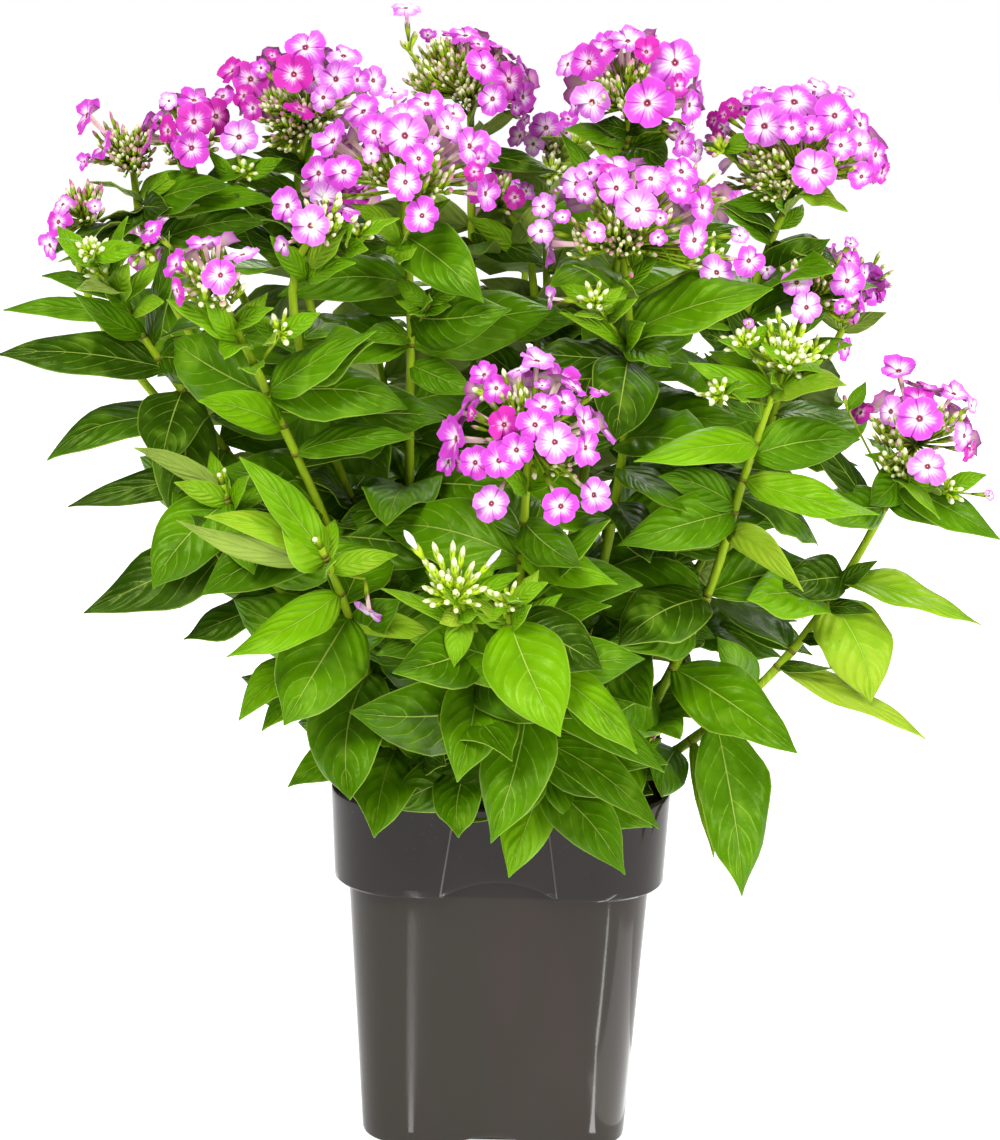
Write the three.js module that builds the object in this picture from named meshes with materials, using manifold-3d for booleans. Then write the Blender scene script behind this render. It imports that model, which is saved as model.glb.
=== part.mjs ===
// A garden phlox in full flower, standing in a square nursery container with rounded corners.
// Millimetres, +Z up. The origin is the middle of the container's foot, and -Y is its front.
//
// Each shoot is a leafy stem, with its leaves and buds fused to it, and a head of pink florets on
// a small core that sits on the stem's top. The stems stand in plain holes in the soil.
import * as THREE from "three";
import { mergeVertices } from "three/addons/utils/BufferGeometryUtils.js";
import Module from "manifold-3d";

const wasm = await Module();
wasm.setup();

// ---------- Driving dimensions ----------

const GAP = 0.3; // between two pieces that touch

const POT = {
  height: 195, // foot to rim
  footHalf: 70, // half the width across the flats, from the foot up
  footCorner: 22,
  shoulderHalf: 78.5,
  shoulderCorner: 30,
  collarBottom: 145,
  collarHalf: 86,
  collarCorner: 36,
  rimHalf: 88,
  rimCorner: 38,
  wall: 2,
  floor: 3,
  ledge: 155, // where the inside widens into the collar
  panelTop: 45, // the sunk panel in each face of the collar: its widths and its depth
  panelBottom: 59,
  panelDepth: 1.1,
  archRise: 9, // how far the collar's lower edge rises in the middle of a face
  notchWidth: 46, // the arched notch under the foot's edge
  notchRise: 5,
  drainRadius: 6,
  drainFromCentre: 44,
};

const SOIL = { top: 183, crown: 3, shoulder: 22 }; // its top is level in the middle and falls by crown

const STALK = { radius: 2.5, tipRadius: 1.7, sides: 4, steps: 5 };

const BLADE = { thickness: 0.9, clearance: 0.4 };
const LARGE_STATIONS = [0.08, 0.4, 0.75]; // where a leaf has a cross-section, as shares of its length
const SMALL_STATIONS = [0.1, 0.55];
const LARGE_WIDTH = 31; // a leaf as wide as this has the large leaf's stations

const FLORET = {
  lobes: 5,
  notch: 0.78, // the face's radius between two lobes, as a share of its full radius
  dip: 0.8, // how far the notches and the throat lie below the face
  throat: 2,
  tubeRadius: 1.6,
  flare: 5, // from the face down to where the tube has narrowed
  cover: 0.87, // how much of its share of the head a face fills, edge to edge
};
const CORE = { foot: 2.4, radius: 8, widest: 6, height: 14, sides: 6 };
const BUD = { length: 15, radius: 1.5, fullest: 0.72, sides: 3, ringAt: 0.98 };
const BUD_HEAD_RADIUS = 4.2;

// How leaves turn to the light: how far its way leans outwards against its way down, how much
// that lean is left to right and front to back, and the least turn that a leaf can still follow.
const LIGHT = { lean: 0.75, sideways: new THREE.Vector3(0.4, 1, 0), least: 0.25 };

const GOLDEN_ANGLE = 137.508;
const UP = new THREE.Vector3(0, 0, 1);
const DEGREE = Math.PI / 180;

// The bends that a leaf or bud may take to grow clear of its neighbours: degrees to the side,
// degrees upwards, and a share of its length. The first that is clear is taken.
const BENDS = [
  [0, 0, 1], [0, 7, 1], [0, -7, 1], [8, 0, 1], [-8, 0, 1], [9, 9, 1], [-9, 9, 1], [9, -9, 0.96],
  [-9, -9, 0.96], [0, 16, 0.94], [0, -16, 0.94], [18, 3, 0.92], [-18, 3, 0.92], [20, 16, 0.88],
  [-20, 16, 0.88], [20, -14, 0.86], [-20, -14, 0.86], [34, 5, 0.8], [-34, 5, 0.8],
];

// ---------- The shoots ----------

// A leaf placed by hand: its place on the stem from 0 to 1, its tip, its width, how far its rib
// arches up as a share of its length, and how far it is rolled about its rib, in degrees.
const leaf = (at, tip, width, arch = 0.06, roll = 0) => ({ at, tip, width, arch, roll });

// A head: how many florets, how far their faces stand from the core's middle, the angle from its
// axis out to which they spread, the way that axis leans, and how many buds grow under them.
const head = (florets, radius, spread, lean, buds) => ({ florets, radius, spread, lean, buds });

// Each shoot's stalk runs through four points: its root in the soil, two on its way, and its top.
// rule is how many pairs of leaves the stem grows by rule besides those placed by hand.
const SHOOTS = [
  {
    name: "centre_left",
    route: [[-14, -22, 160], [-46, -38, 311], [-50, -45, 395], [-54, -48, 494]],
    head: head(11, 46, 96, [0, -0.35, 1], 2),
    rule: 3,
    leaves: [leaf(0.95, [-15, -95, 455], 33, 0.1), leaf(0.88, [-110, -80, 450], 26, 0.12)],
  },
  {
    name: "front",
    route: [[6, -46, 160], [7, -95, 260], [7, -125, 319], [9, -136, 386]],
    head: head(10, 38, 92, [0, -0.6, 0.8], 0),
    rule: 3,
    leaves: [leaf(0.81, [50, -165, 335], 21, 0.08), leaf(0.87, [35, -185, 345], 22, 0.08)],
  },
  {
    name: "far_right",
    route: [[44, -6, 160], [100, -36, 218], [150, -40, 270], [206, -22, 368]],
    head: head(8, 33, 84, [0.3, -0.4, 0.85], 5),
    rule: 1,
    leaves: [
      leaf(0.37, [125, -95, 155], 42, 0.05),
      leaf(0.27, [80, -95, 205], 28),
      leaf(0.31, [110, -70, 165], 11, 0.04, 40),
      leaf(0.79, [185, -60, 250], 39),
      leaf(0.61, [215, -60, 235], 20, 0.1, 20),
      leaf(0.83, [240, -50, 285], 22, 0.14),
      leaf(0.94, [250, -45, 330], 27),
      leaf(0.95, [215, -75, 350], 18),
      leaf(0.89, [150, -60, 350], 25, 0.08),
      leaf(0.68, [120, -75, 310], 25),
    ],
  },
  {
    name: "right_bud",
    route: [[38, -30, 160], [93, -60, 278], [111, -68, 340], [133, -70, 420]],
    head: head(0, 16, 100, [0, -0.2, 1], 10),
    rule: 1,
    leaves: [
      leaf(0.56, [55, -130, 295], 35, 0.07),
      leaf(0.34, [50, -115, 250], 38, 0.07),
      leaf(0.41, [145, -110, 235], 38, 0.07),
      leaf(0.21, [65, -110, 205], 27, 0.05),
      leaf(0.79, [180, -100, 355], 21, 0.1),
      leaf(0.65, [140, -130, 320], 22, 0.16, 30),
      leaf(0.86, [60, -125, 385], 22, 0.12),
      leaf(0.73, [55, -110, 340], 28, 0.14),
      leaf(0.95, [155, -120, 430], 19, 0.08, 30),
      leaf(0.96, [85, -90, 425], 14),
    ],
  },
  {
    name: "right_top",
    route: [[26, 14, 160], [80, 8, 280], [113, 10, 402], [145, 20, 500]],
    head: head(10, 43, 94, [0.05, -0.2, 1], 0),
    rule: 3,
    leaves: [
      leaf(0.97, [105, 5, 490], 12, 0.08),
      leaf(0.99, [170, 0, 490], 17, 0.1),
      leaf(0.91, [105, 0, 490], 15, 0.1),
      leaf(0.91, [165, -10, 465], 21, 0.1),
    ],
  },
  {
    name: "right_middle",
    route: [[50, 26, 160], [109, 34, 274], [136, 24, 365], [152, 10, 437]],
    head: head(6, 29, 84, [0.4, -0.3, 0.9], 5),
    rule: 2,
    leaves: [],
  },
  {
    name: "centre_right",
    route: [[14, -26, 160], [44, -35, 280], [58, -50, 383], [54, -58, 470]],
    head: head(10, 44, 90, [0, -0.4, 0.9], 2),
    rule: 3,
    leaves: [leaf(0.88, [125, -85, 460], 35, 0.08), leaf(0.84, [50, -115, 390], 35)],
  },
  {
    name: "upper_right",
    route: [[12, 8, 160], [29, 5, 280], [47, 8, 398], [57, 10, 532]],
    head: head(9, 37, 92, [0, -0.25, 1], 0),
    rule: 3,
    leaves: [leaf(0.97, [25, -15, 530], 15, 0.08), leaf(0.96, [75, -20, 515], 24, 0.1)],
  },
  {
    name: "upper_left",
    route: [[-24, 8, 160], [-40, 10, 277], [-94, 15, 399], [-108, 22, 524]],
    head: head(9, 38, 92, [0, -0.25, 1], 0),
    rule: 3,
    leaves: [],
  },
  {
    name: "left_high",
    route: [[-36, 20, 160], [-56, 20, 274], [-118, 22, 392], [-168, 22, 508]],
    head: head(6, 26, 84, [-0.1, -0.35, 0.9], 2),
    rule: 2,
    leaves: [leaf(0.88, [-180, 0, 485], 24, 0.08), leaf(0.95, [-130, -5, 510], 18)],
  },
  {
    name: "left_top",
    route: [[-50, 6, 160], [-64, 10, 266], [-146, 20, 381], [-198, 30, 498]],
    head: head(3, 24, 45, [-0.8, -0.3, 0.5], 9),
    rule: 2,
    leaves: [leaf(0.95, [-120, 0, 480], 24, 0.1), leaf(0.95, [-235, -15, 460], 25, 0.08)],
  },
  {
    name: "middle_top",
    route: [[-4, 32, 160], [-14, 40, 270], [-20, 50, 400], [-24, 58, 532]],
    head: head(8, 36, 86, [0.35, -0.15, 0.9], 2),
    rule: 3,
    leaves: [leaf(0.97, [-15, 20, 550], 11, 0.05), leaf(0.94, [20, 20, 505], 15, 0.08)],
  },
  {
    name: "left_front",
    route: [[-34, -34, 160], [-66, -60, 274], [-105, -95, 381], [-136, -116, 454]],
    head: head(5, 24, 75, [-0.3, -0.6, 0.7], 5),
    rule: 1,
    leaves: [
      leaf(0.78, [-145, -140, 410], 19),
      leaf(0.84, [-65, -130, 445], 24, 0.1),
      leaf(0.73, [-45, -115, 390], 17, 0.08),
    ],
  },
  {
    name: "far_left",
    route: [[-54, -14, 160], [-72, -25, 253], [-143, -42, 367], [-200, -50, 454]],
    head: head(0, 12, 90, [-0.3, -0.2, 0.9], 5),
    rule: 1,
    leaves: [
      leaf(0.84, [-250, -75, 420], 26),
      leaf(0.93, [-250, -60, 440], 14, 0.05),
      leaf(0.75, [-230, -70, 370], 31, 0.08),
      leaf(0.64, [-220, -60, 340], 20),
      leaf(0.8, [-165, -95, 365], 35, 0.05),
      leaf(0.69, [-160, -90, 330], 33, 0.05),
      leaf(0.86, [-135, -90, 410], 25, 0.08),
      leaf(0.9, [-210, -80, 450], 17, 0.1),
      leaf(0.98, [-190, -60, 485], 9, 0.05),
      leaf(0.96, [-235, -40, 455], 11, 0.05),
    ],
  },
  {
    name: "low_left_tip",
    route: [[-28, -52, 160], [-57, -90, 236], [-72, -125, 295], [-87, -148, 343]],
    head: head(0, 8, 60, [-0.2, -0.5, 0.8], 3),
    rule: 1,
    leaves: [
      leaf(0.98, [-120, -170, 390], 19, 0.04),
      leaf(0.94, [-135, -185, 365], 17),
      leaf(0.9, [-150, -160, 365], 11, 0.06, 140),
      leaf(0.96, [-95, -195, 375], 24, 0.05),
      leaf(0.87, [-125, -200, 305], 22, 0.08),
      leaf(0.8, [-100, -190, 270], 43),
      leaf(0.61, [-70, -180, 230], 41, 0.05),
      leaf(0.35, [-60, -150, 205], 35),
    ],
  },
  {
    name: "front_bud",
    route: [[-8, -60, 160], [-16, -105, 234], [-11, -145, 282], [-22, -176, 328]],
    head: head(0, 17, 105, [-0.1, -0.4, 0.9], 11),
    rule: 1,
    leaves: [leaf(0.34, [-20, -145, 200], 26), leaf(0.69, [-20, -200, 250], 31)],
  },
  {
    name: "low_front",
    route: [[18, -66, 160], [22, -90, 204], [13, -140, 263], [1, -178, 322]],
    head: head(0, 7, 70, [0, -0.3, 1], 4),
    rule: 0,
    leaves: [
      leaf(0.69, [-5, -190, 215], 37),
      leaf(0.31, [5, -130, 175], 26, 0.08),
      leaf(0.42, [-5, -135, 200], 21),
      leaf(0.32, [60, -145, 185], 30, 0.08),
      leaf(0.52, [75, -165, 215], 22, 0.08),
      leaf(0.35, [75, -115, 185], 31),
      leaf(0.97, [25, -225, 280], 39, 0.08),
      leaf(0.84, [60, -210, 265], 24, 0.1),
      leaf(0.71, [75, -185, 250], 21, 0.08),
      leaf(0.96, [45, -190, 300], 31, 0.08),
    ],
  },
  {
    name: "left_side",
    route: [[-60, 6, 160], [-70, -4, 258], [-174, 4, 373], [-222, 12, 468]],
    head: head(5, 18, 75, [-0.9, -0.3, 0.3], 0),
    rule: 1,
    leaves: [],
  },
  {
    name: "left_centre",
    route: [[-34, -10, 160], [-60, -34, 288], [-99, -62, 405], [-97, -86, 480]],
    head: head(4, 20, 70, [-0.3, -0.7, 0.6], 3),
    rule: 3,
    leaves: [],
  },
  {
    name: "middle_small",
    route: [[2, 20, 160], [12, 26, 274], [14, 36, 409], [-2, 40, 480]],
    head: head(4, 16, 70, [0, -0.5, 0.9], 0),
    rule: 2,
    leaves: [],
  },
  {
    name: "middle_back",
    route: [[10, 40, 160], [24, 52, 267], [21, 66, 388], [18, 78, 504]],
    head: head(4, 17, 70, [0, -0.3, 1], 0),
    rule: 2,
    leaves: [],
  },
  {
    name: "left_low",
    route: [[-52, -36, 160], [-94, -62, 271], [-121, -82, 317], [-139, -92, 360]],
    head: head(0, 7, 70, [-0.3, -0.3, 1], 3),
    rule: 0,
    leaves: [
      leaf(0.85, [-205, -100, 295], 35),
      leaf(0.96, [-170, -120, 315], 34),
      leaf(0.69, [-160, -85, 280], 27),
      leaf(0.97, [-180, -110, 380], 12, 0.04, 150),
      leaf(0.94, [-120, -130, 325], 25),
      leaf(0.5, [-130, -110, 250], 26, 0.05),
      leaf(0.42, [-120, -95, 240], 22, 0.05),
      leaf(0.23, [-105, -100, 210], 22, 0.05),
    ],
  },
  {
    name: "back_left",
    route: [[-42, 36, 160], [-88, 62, 275], [-142, 92, 365], [-188, 120, 440]],
    head: head(5, 30, 80, [-0.4, 0.3, 0.9], 0),
    rule: 3,
    leaves: [],
  },
  {
    name: "back_mid_left",
    route: [[-20, 48, 160], [-46, 86, 280], [-72, 128, 375], [-96, 164, 465]],
    head: head(6, 32, 84, [-0.2, 0.4, 0.9], 0),
    rule: 3,
    leaves: [],
  },
  {
    name: "back_middle",
    route: [[4, 52, 160], [4, 100, 275], [6, 150, 365], [8, 188, 450]],
    head: head(6, 32, 84, [0, 0.4, 0.9], 0),
    rule: 4,
    leaves: [],
  },
  {
    name: "back_mid_right",
    route: [[26, 46, 160], [52, 84, 280], [76, 124, 375], [98, 160, 470]],
    head: head(6, 32, 84, [0.2, 0.4, 0.9], 0),
    rule: 3,
    leaves: [],
  },
  {
    name: "back_right",
    route: [[46, 38, 160], [98, 60, 270], [150, 84, 355], [192, 106, 430]],
    head: head(5, 30, 80, [0.4, 0.3, 0.9], 0),
    rule: 3,
    leaves: [],
  },
];

// ---------- Tools ----------

const vector = ([x, y, z]) => new THREE.Vector3(x, y, z);

// A repeatable number from 0 to 1 for three whole numbers.
function chance(a, b, c) {
  const value = Math.sin(a * 12.9898 + b * 78.233 + c * 37.719) * 43758.5453;
  return value - Math.floor(value);
}

// A closed solid from points and triangles, dropping triangles that have shrunk to a line.
function solidFrom(points, triangles) {
  const kept = triangles.filter(([a, b, c]) => a !== b && b !== c && c !== a);
  return new wasm.Manifold(new wasm.Mesh({
    numProp: 3,
    vertProperties: new Float32Array(points.flatMap((point) => point.toArray())),
    triVerts: new Uint32Array(kept.flat()),
  }));
}

// A three.js geometry as a solid.
function solidOf(geometry) {
  geometry.deleteAttribute("normal");
  geometry.deleteAttribute("uv");
  const merged = mergeVertices(geometry, 1e-4);
  const { array } = merged.getAttribute("position");
  const points = [];
  for (let i = 0; i < array.length; i += 3) points.push(vector(array.slice(i, i + 3)));
  const triangles = [];
  const order = merged.index.array;
  for (let i = 0; i < order.length; i += 3) triangles.push([...order.slice(i, i + 3)]);
  return solidFrom(points, triangles);
}

// Joins solids into one.
const join = (solids) => solids.reduce((whole, solid) => whole.add(solid));

// The ring of a square with rounded corners, counter-clockwise from above.
function roundedSquare(half, corner, z, steps = 4) {
  const flat = half - corner;
  const ring = [];
  for (const [x, y, start] of [[1, 1, 0], [-1, 1, 90], [-1, -1, 180], [1, -1, 270]]) {
    for (let i = 0; i <= steps; i++) {
      const angle = (start + (90 * i) / steps) * DEGREE;
      ring.push(new THREE.Vector3(
        x * flat + corner * Math.cos(angle), y * flat + corner * Math.sin(angle), z,
      ));
    }
  }
  return ring;
}

// A closed solid through rings of equally many points, from the lowest ring to the highest.
function loft(rings) {
  const count = rings[0].length;
  const top = (rings.length - 1) * count;
  const triangles = [];
  for (let first = 0; first < top; first += count) {
    for (let i = 0; i < count; i++) {
      const [a, b] = [first + i, first + ((i + 1) % count)];
      triangles.push([a, b, b + count], [a, b + count, a + count]);
    }
  }
  for (let i = 1; i + 1 < count; i++) triangles.push([0, i + 1, i], [top, top + i, top + i + 1]);
  return solidFrom(rings.flat(), triangles);
}

// A prism of a Shape drawn in X and Z, from y = near to y = far.
function prismAlongY(shape, near, far) {
  const geometry = new THREE.ExtrudeGeometry(shape, {
    depth: far - near, bevelEnabled: false, curveSegments: 2,
  });
  geometry.rotateX(Math.PI / 2).translate(0, far, 0);
  return solidOf(geometry);
}

// ---------- The container and its soil ----------

// An arch standing on the line z = bottom: its flat foot is width wide.
function archShape(width, bottom, rise) {
  const shape = new THREE.Shape();
  shape.moveTo(-width / 2, bottom - 1);
  shape.lineTo(width / 2, bottom - 1);
  shape.lineTo(width / 2, bottom);
  shape.quadraticCurveTo(width / 4, bottom + rise, 0, bottom + rise);
  shape.quadraticCurveTo(-width / 4, bottom + rise, -width / 2, bottom);
  return shape;
}

// One face's cuts: the sunk panel in the collar, the arch under it and the notch in the foot.
function faceCuts() {
  const { panelTop, panelBottom, panelDepth, collarBottom, archRise } = POT;
  const panel = new THREE.Shape([
    new THREE.Vector2(-panelBottom / 2, collarBottom + archRise / 2),
    new THREE.Vector2(panelBottom / 2, collarBottom + archRise / 2),
    new THREE.Vector2(panelTop / 2, POT.height - 3),
    new THREE.Vector2(-panelTop / 2, POT.height - 3),
  ]);
  const outside = POT.rimHalf + 5;
  const arch = archShape(panelBottom, collarBottom, archRise);
  const notch = archShape(POT.notchWidth, 0, POT.notchRise);
  return join([
    prismAlongY(panel, -outside, panelDepth - POT.rimHalf),
    prismAlongY(arch, -outside, -POT.shoulderHalf - 0.6),
    prismAlongY(notch, -outside, POT.wall + 1 - POT.footHalf),
  ]);
}

function makePot() {
  const body = loft([
    roundedSquare(POT.footHalf, POT.footCorner, 0),
    roundedSquare(POT.shoulderHalf, POT.shoulderCorner, POT.collarBottom - 4),
    roundedSquare(POT.shoulderHalf + 0.5, POT.shoulderCorner, POT.collarBottom + 10),
  ]);
  const collar = loft([
    roundedSquare(POT.collarHalf - 0.8, POT.collarCorner, POT.collarBottom),
    roundedSquare(POT.collarHalf, POT.collarCorner, POT.collarBottom + 2),
    roundedSquare(POT.rimHalf, POT.rimCorner, POT.height - 2),
    roundedSquare(POT.rimHalf - 0.6, POT.rimCorner, POT.height),
  ]);
  const { wall, ledge, floor } = POT;
  const lowerRoom = loft([
    roundedSquare(POT.footHalf - wall, POT.footCorner - wall, floor),
    roundedSquare(POT.shoulderHalf - wall, POT.shoulderCorner - wall, ledge + 1),
  ]);
  const upperRoom = loft([
    roundedSquare(POT.collarHalf - wall, POT.collarCorner - wall, ledge),
    roundedSquare(POT.rimHalf - wall, POT.rimCorner - wall, POT.height + 1),
  ]);
  const cuts = [0, 90, 180, 270].map((turn) => faceCuts().rotate([0, 0, turn]));
  const drains = [45, 135, 225, 315].map((turn) => {
    const drill = new THREE.CylinderGeometry(POT.drainRadius, POT.drainRadius, 3 * floor, 6);
    drill.rotateX(Math.PI / 2).translate(POT.drainFromCentre, 0, 0).rotateZ(turn * DEGREE);
    return solidOf(drill);
  });
  return [lowerRoom, upperRoom, ...cuts, ...drains].reduce((pot, cut) => pot.subtract(cut),
    body.add(collar));
}

function makeSoil(holes) {
  const inset = POT.wall + GAP;
  const lower = loft([
    roundedSquare(POT.footHalf - inset, POT.footCorner - inset, POT.floor + GAP),
    roundedSquare(POT.shoulderHalf - inset, POT.shoulderCorner - inset, POT.ledge + 1),
  ]);
  const upper = loft([
    roundedSquare(POT.collarHalf - inset, POT.collarCorner - inset, POT.ledge + GAP),
    roundedSquare(POT.collarHalf - inset, POT.collarCorner - inset, SOIL.top - SOIL.crown),
    roundedSquare(POT.collarHalf - SOIL.shoulder, POT.collarCorner - SOIL.shoulder / 2, SOIL.top),
  ]);
  return holes.reduce((soil, hole) => soil.subtract(hole), lower.add(upper));
}

// ---------- Stalks ----------

// The cubic curve that runs through a shoot's four points at a third of its way each.
function stalkCurve(route) {
  const [root, low, high, top] = route.map(vector);
  const mix = (a, b, c, d) => root.clone().multiplyScalar(a).addScaledVector(low, b)
    .addScaledVector(high, c).addScaledVector(top, d).divideScalar(6);
  return new THREE.CubicBezierCurve3(root, mix(-5, 18, -9, 2), mix(2, -9, 18, -5), top);
}

// A point on a stalk's axis, at a share of its length. The stalk is straight between its rings.
function stalkPoint(curve, share) {
  const rings = curve.getSpacedPoints(STALK.steps);
  const step = Math.min(Math.floor(share * STALK.steps), STALK.steps - 1);
  return rings[step].lerp(rings[step + 1], share * STALK.steps - step);
}

// A stalk with a slight taper; extra makes it stouter all over, as for the hole it stands in.
function stalkSolid(curve, extra = 0) {
  const section = new THREE.Shape();
  for (let i = 0; i < STALK.sides; i++) {
    const angle = (i / STALK.sides) * 2 * Math.PI;
    section[i ? "lineTo" : "moveTo"](Math.cos(angle), Math.sin(angle));
  }
  const geometry = new THREE.ExtrudeGeometry(section, {
    steps: STALK.steps, bevelEnabled: false, extrudePath: curve,
  });
  const centres = curve.getSpacedPoints(STALK.steps);
  const positions = geometry.getAttribute("position");
  const point = new THREE.Vector3();
  for (let i = 0; i < positions.count; i++) {
    point.fromBufferAttribute(positions, i);
    const near = centres.reduce((best, centre, step) =>
      centre.distanceTo(point) < centres[best].distanceTo(point) ? step : best, 0);
    const radius = THREE.MathUtils.lerp(STALK.radius, STALK.tipRadius, near / STALK.steps) + extra;
    point.sub(centres[near]).setLength(radius).add(centres[near]);
    positions.setXYZ(i, point.x, point.y, point.z);
  }
  return solidOf(geometry);
}

// ---------- Leaves ----------

// A leaf's half width as a share of its full half width, at a share of the way along its rib.
const leafOutline = (share) => Math.sin(Math.PI * share ** 0.72) ** 0.9;

// The ways along a leaf, across it and up through its face. The face turns to the light, which
// comes from above and from the side of the plant that the leaf grows on.
function leafWays(base, tip, roll) {
  const along = tip.clone().sub(base).normalize();
  const side = base.clone().lerp(tip, 0.5).setZ(0).multiply(LIGHT.sideways).normalize();
  const light = UP.clone().addScaledVector(side, LIGHT.lean);
  const up = light.addScaledVector(along, -light.dot(along));
  if (up.length() < LIGHT.least) up.copy(UP).addScaledVector(along, -along.z);
  up.normalize().applyAxisAngle(along, roll * DEGREE);
  return { along, across: up.clone().cross(along), up };
}

// A leaf blade that arches along its rib, pointed at both ends. extra makes it stouter all over,
// and from leaves out the part before that share of its length.
function bladeSolid({ base, tip, width, arch, roll }, extra = 0, from = 0) {
  const { across, up } = leafWays(base, tip, roll);
  const stations = width < LARGE_WIDTH ? SMALL_STATIONS : LARGE_STATIONS;
  const bow = base.clone().lerp(tip, 0.5).addScaledVector(up, arch * base.distanceTo(tip));
  const rib = new THREE.QuadraticBezierCurve3(base, bow, tip);
  const points = [];
  // A row is the numbers of its left and right points on the upper face, then on the lower one.
  const rows = [from, ...stations.filter((share) => share > from), 1].map((share) => {
    const centre = rib.getPoint(share);
    const face = rib.getTangent(share).cross(across).normalize();
    const first = points.length;
    if (share === from || share === 1) {
      points.push(centre);
      return [first, first, first, first];
    }
    const deep = BLADE.thickness / 2 + extra;
    const wide = (width / 2) * leafOutline(share) + extra;
    for (const side of [deep, -deep]) {
      for (const edge of [-wide, wide]) {
        points.push(centre.clone().addScaledVector(across, edge).addScaledVector(face, side));
      }
    }
    return [first, first + 1, first + 2, first + 3];
  });
  const triangles = [];
  for (let r = 0; r + 1 < rows.length; r++) {
    const [near, far] = [rows[r], rows[r + 1]];
    triangles.push([near[0], far[1], near[1]], [near[0], far[0], far[1]]);
    triangles.push([near[2], near[3], far[3]], [near[2], far[3], far[2]]);
    triangles.push([near[0], far[2], far[0]], [near[0], near[2], far[2]]);
    triangles.push([near[1], far[3], near[3]], [near[1], far[1], far[3]]);
  }
  return solidFrom(points, triangles);
}

// The same leaf or bud turned about its base by a bend.
function bent(item, [aside, upwards, share]) {
  const reach = item.tip.clone().sub(item.base);
  const across = leafWays(item.base, item.tip, 0).across;
  reach.applyAxisAngle(across, -upwards * DEGREE).applyAxisAngle(UP, aside * DEGREE);
  return { ...item, tip: item.base.clone().addScaledVector(reach, share) };
}

// The leaves that a stem grows by rule: pairs on opposite sides, each pair a quarter turn on from
// the last. A leaf gives way to one placed by hand close to it.
const PAIRS = { first: 0.24, last: 0.9, length: 62, extra: 24, slimness: 0.45 };
const HAND_PLACED_REACH = 0.07;

function ruleLeaves(shoot, number) {
  const curve = stalkCurve(shoot.route);
  const leaves = [];
  for (let pair = 0; pair < shoot.rule; pair++) {
    const share = (pair + 0.5) / shoot.rule;
    const at = THREE.MathUtils.lerp(PAIRS.first, PAIRS.last, share);
    const base = stalkPoint(curve, at);
    for (const side of [0, 1]) {
      const draw = (use) => chance(number + 1, 2 * pair + side, use);
      const heading = number * GOLDEN_ANGLE + pair * 90 + side * 180 + 40 * (draw(1) - 0.5);
      const rise = -22 + 46 * at + 20 * (draw(2) - 0.5);
      const length = PAIRS.length + PAIRS.extra * Math.sin(Math.PI * at) + 12 * (draw(3) - 0.5);
      const way = new THREE.Vector3(
        Math.cos(heading * DEGREE) * Math.cos(rise * DEGREE),
        Math.sin(heading * DEGREE) * Math.cos(rise * DEGREE),
        Math.sin(rise * DEGREE),
      );
      const taken = shoot.leaves.some((hand) => Math.abs(hand.at - at) < HAND_PLACED_REACH &&
        vector(hand.tip).sub(base).setZ(0).angleTo(way.clone().setZ(0)) < 60 * DEGREE);
      if (taken) continue;
      leaves.push({
        base, tip: base.clone().addScaledVector(way, length), width: length * PAIRS.slimness,
        arch: 0.08 + 0.06 * draw(4), roll: 24 * (draw(5) - 0.5),
      });
    }
  }
  return leaves;
}

// ---------- Flower heads and buds ----------

// The directions of count florets or buds, spread evenly over a cap round the axis.
function capDirections(count, spread, axis) {
  const turn = new THREE.Quaternion().setFromUnitVectors(UP, axis);
  return Array.from({ length: count }, (_, i) => {
    const polar = Math.acos(1 - ((i + 0.5) / count) * (1 - Math.cos(spread * DEGREE)));
    return new THREE.Vector3().setFromSphericalCoords(1, polar, i * GOLDEN_ANGLE * DEGREE)
      .applyAxisAngle(new THREE.Vector3(1, 0, 0), Math.PI / 2).applyQuaternion(turn);
  });
}

// A body of revolution from its profile, standing at a point and pointing along a direction.
function turned(profile, segments, place, direction) {
  const geometry = new THREE.LatheGeometry(profile.map(([r, h]) => new THREE.Vector2(r, h)), segments);
  const turn = new THREE.Quaternion().setFromUnitVectors(new THREE.Vector3(0, 1, 0), direction);
  geometry.applyQuaternion(turn).translate(...place.toArray());
  return solidOf(geometry);
}

// A floret: a five-lobed face with a sunk throat, on a slim tube that starts inside the core.
// Each lobe's rim has three points, and the tube is three-sided.
function floretSolid(middle, direction, reach, radius, spin) {
  const turn = new THREE.Quaternion().setFromUnitVectors(UP, direction);
  const at = (degrees, out, height) => new THREE.Vector3(
    out * Math.cos(degrees * DEGREE), out * Math.sin(degrees * DEGREE), height,
  ).applyQuaternion(turn).add(middle);
  const rimPoints = 3 * FLORET.lobes;
  const points = [at(0, 0, reach - FLORET.throat)];
  for (let i = 0; i < rimPoints; i++) {
    const between = i % 3 === 0;
    points.push(at(spin + (i * 360) / rimPoints, between ? FLORET.notch * radius : radius,
      reach - (between ? FLORET.dip : 0)));
  }
  const rim = (i) => 1 + (i % rimPoints);
  const tube = (i) => 1 + rimPoints + (i % 3);
  for (let i = 0; i < 3; i++) {
    points.push(at(spin + i * 120 + 48, FLORET.tubeRadius, reach - FLORET.flare));
  }
  points.push(at(0, 0, CORE.radius / 2));
  const end = points.length - 1;
  const triangles = [];
  for (let i = 0; i < rimPoints; i++) {
    triangles.push([0, rim(i), rim(i + 1)], [rim(i + 1), rim(i), tube(Math.floor(i / FLORET.lobes))]);
  }
  for (let i = 0; i < 3; i++) {
    triangles.push([rim((i + 1) * FLORET.lobes), tube(i), tube(i + 1)], [tube(i + 1), tube(i), end]);
  }
  return solidFrom(points, triangles);
}

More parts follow.
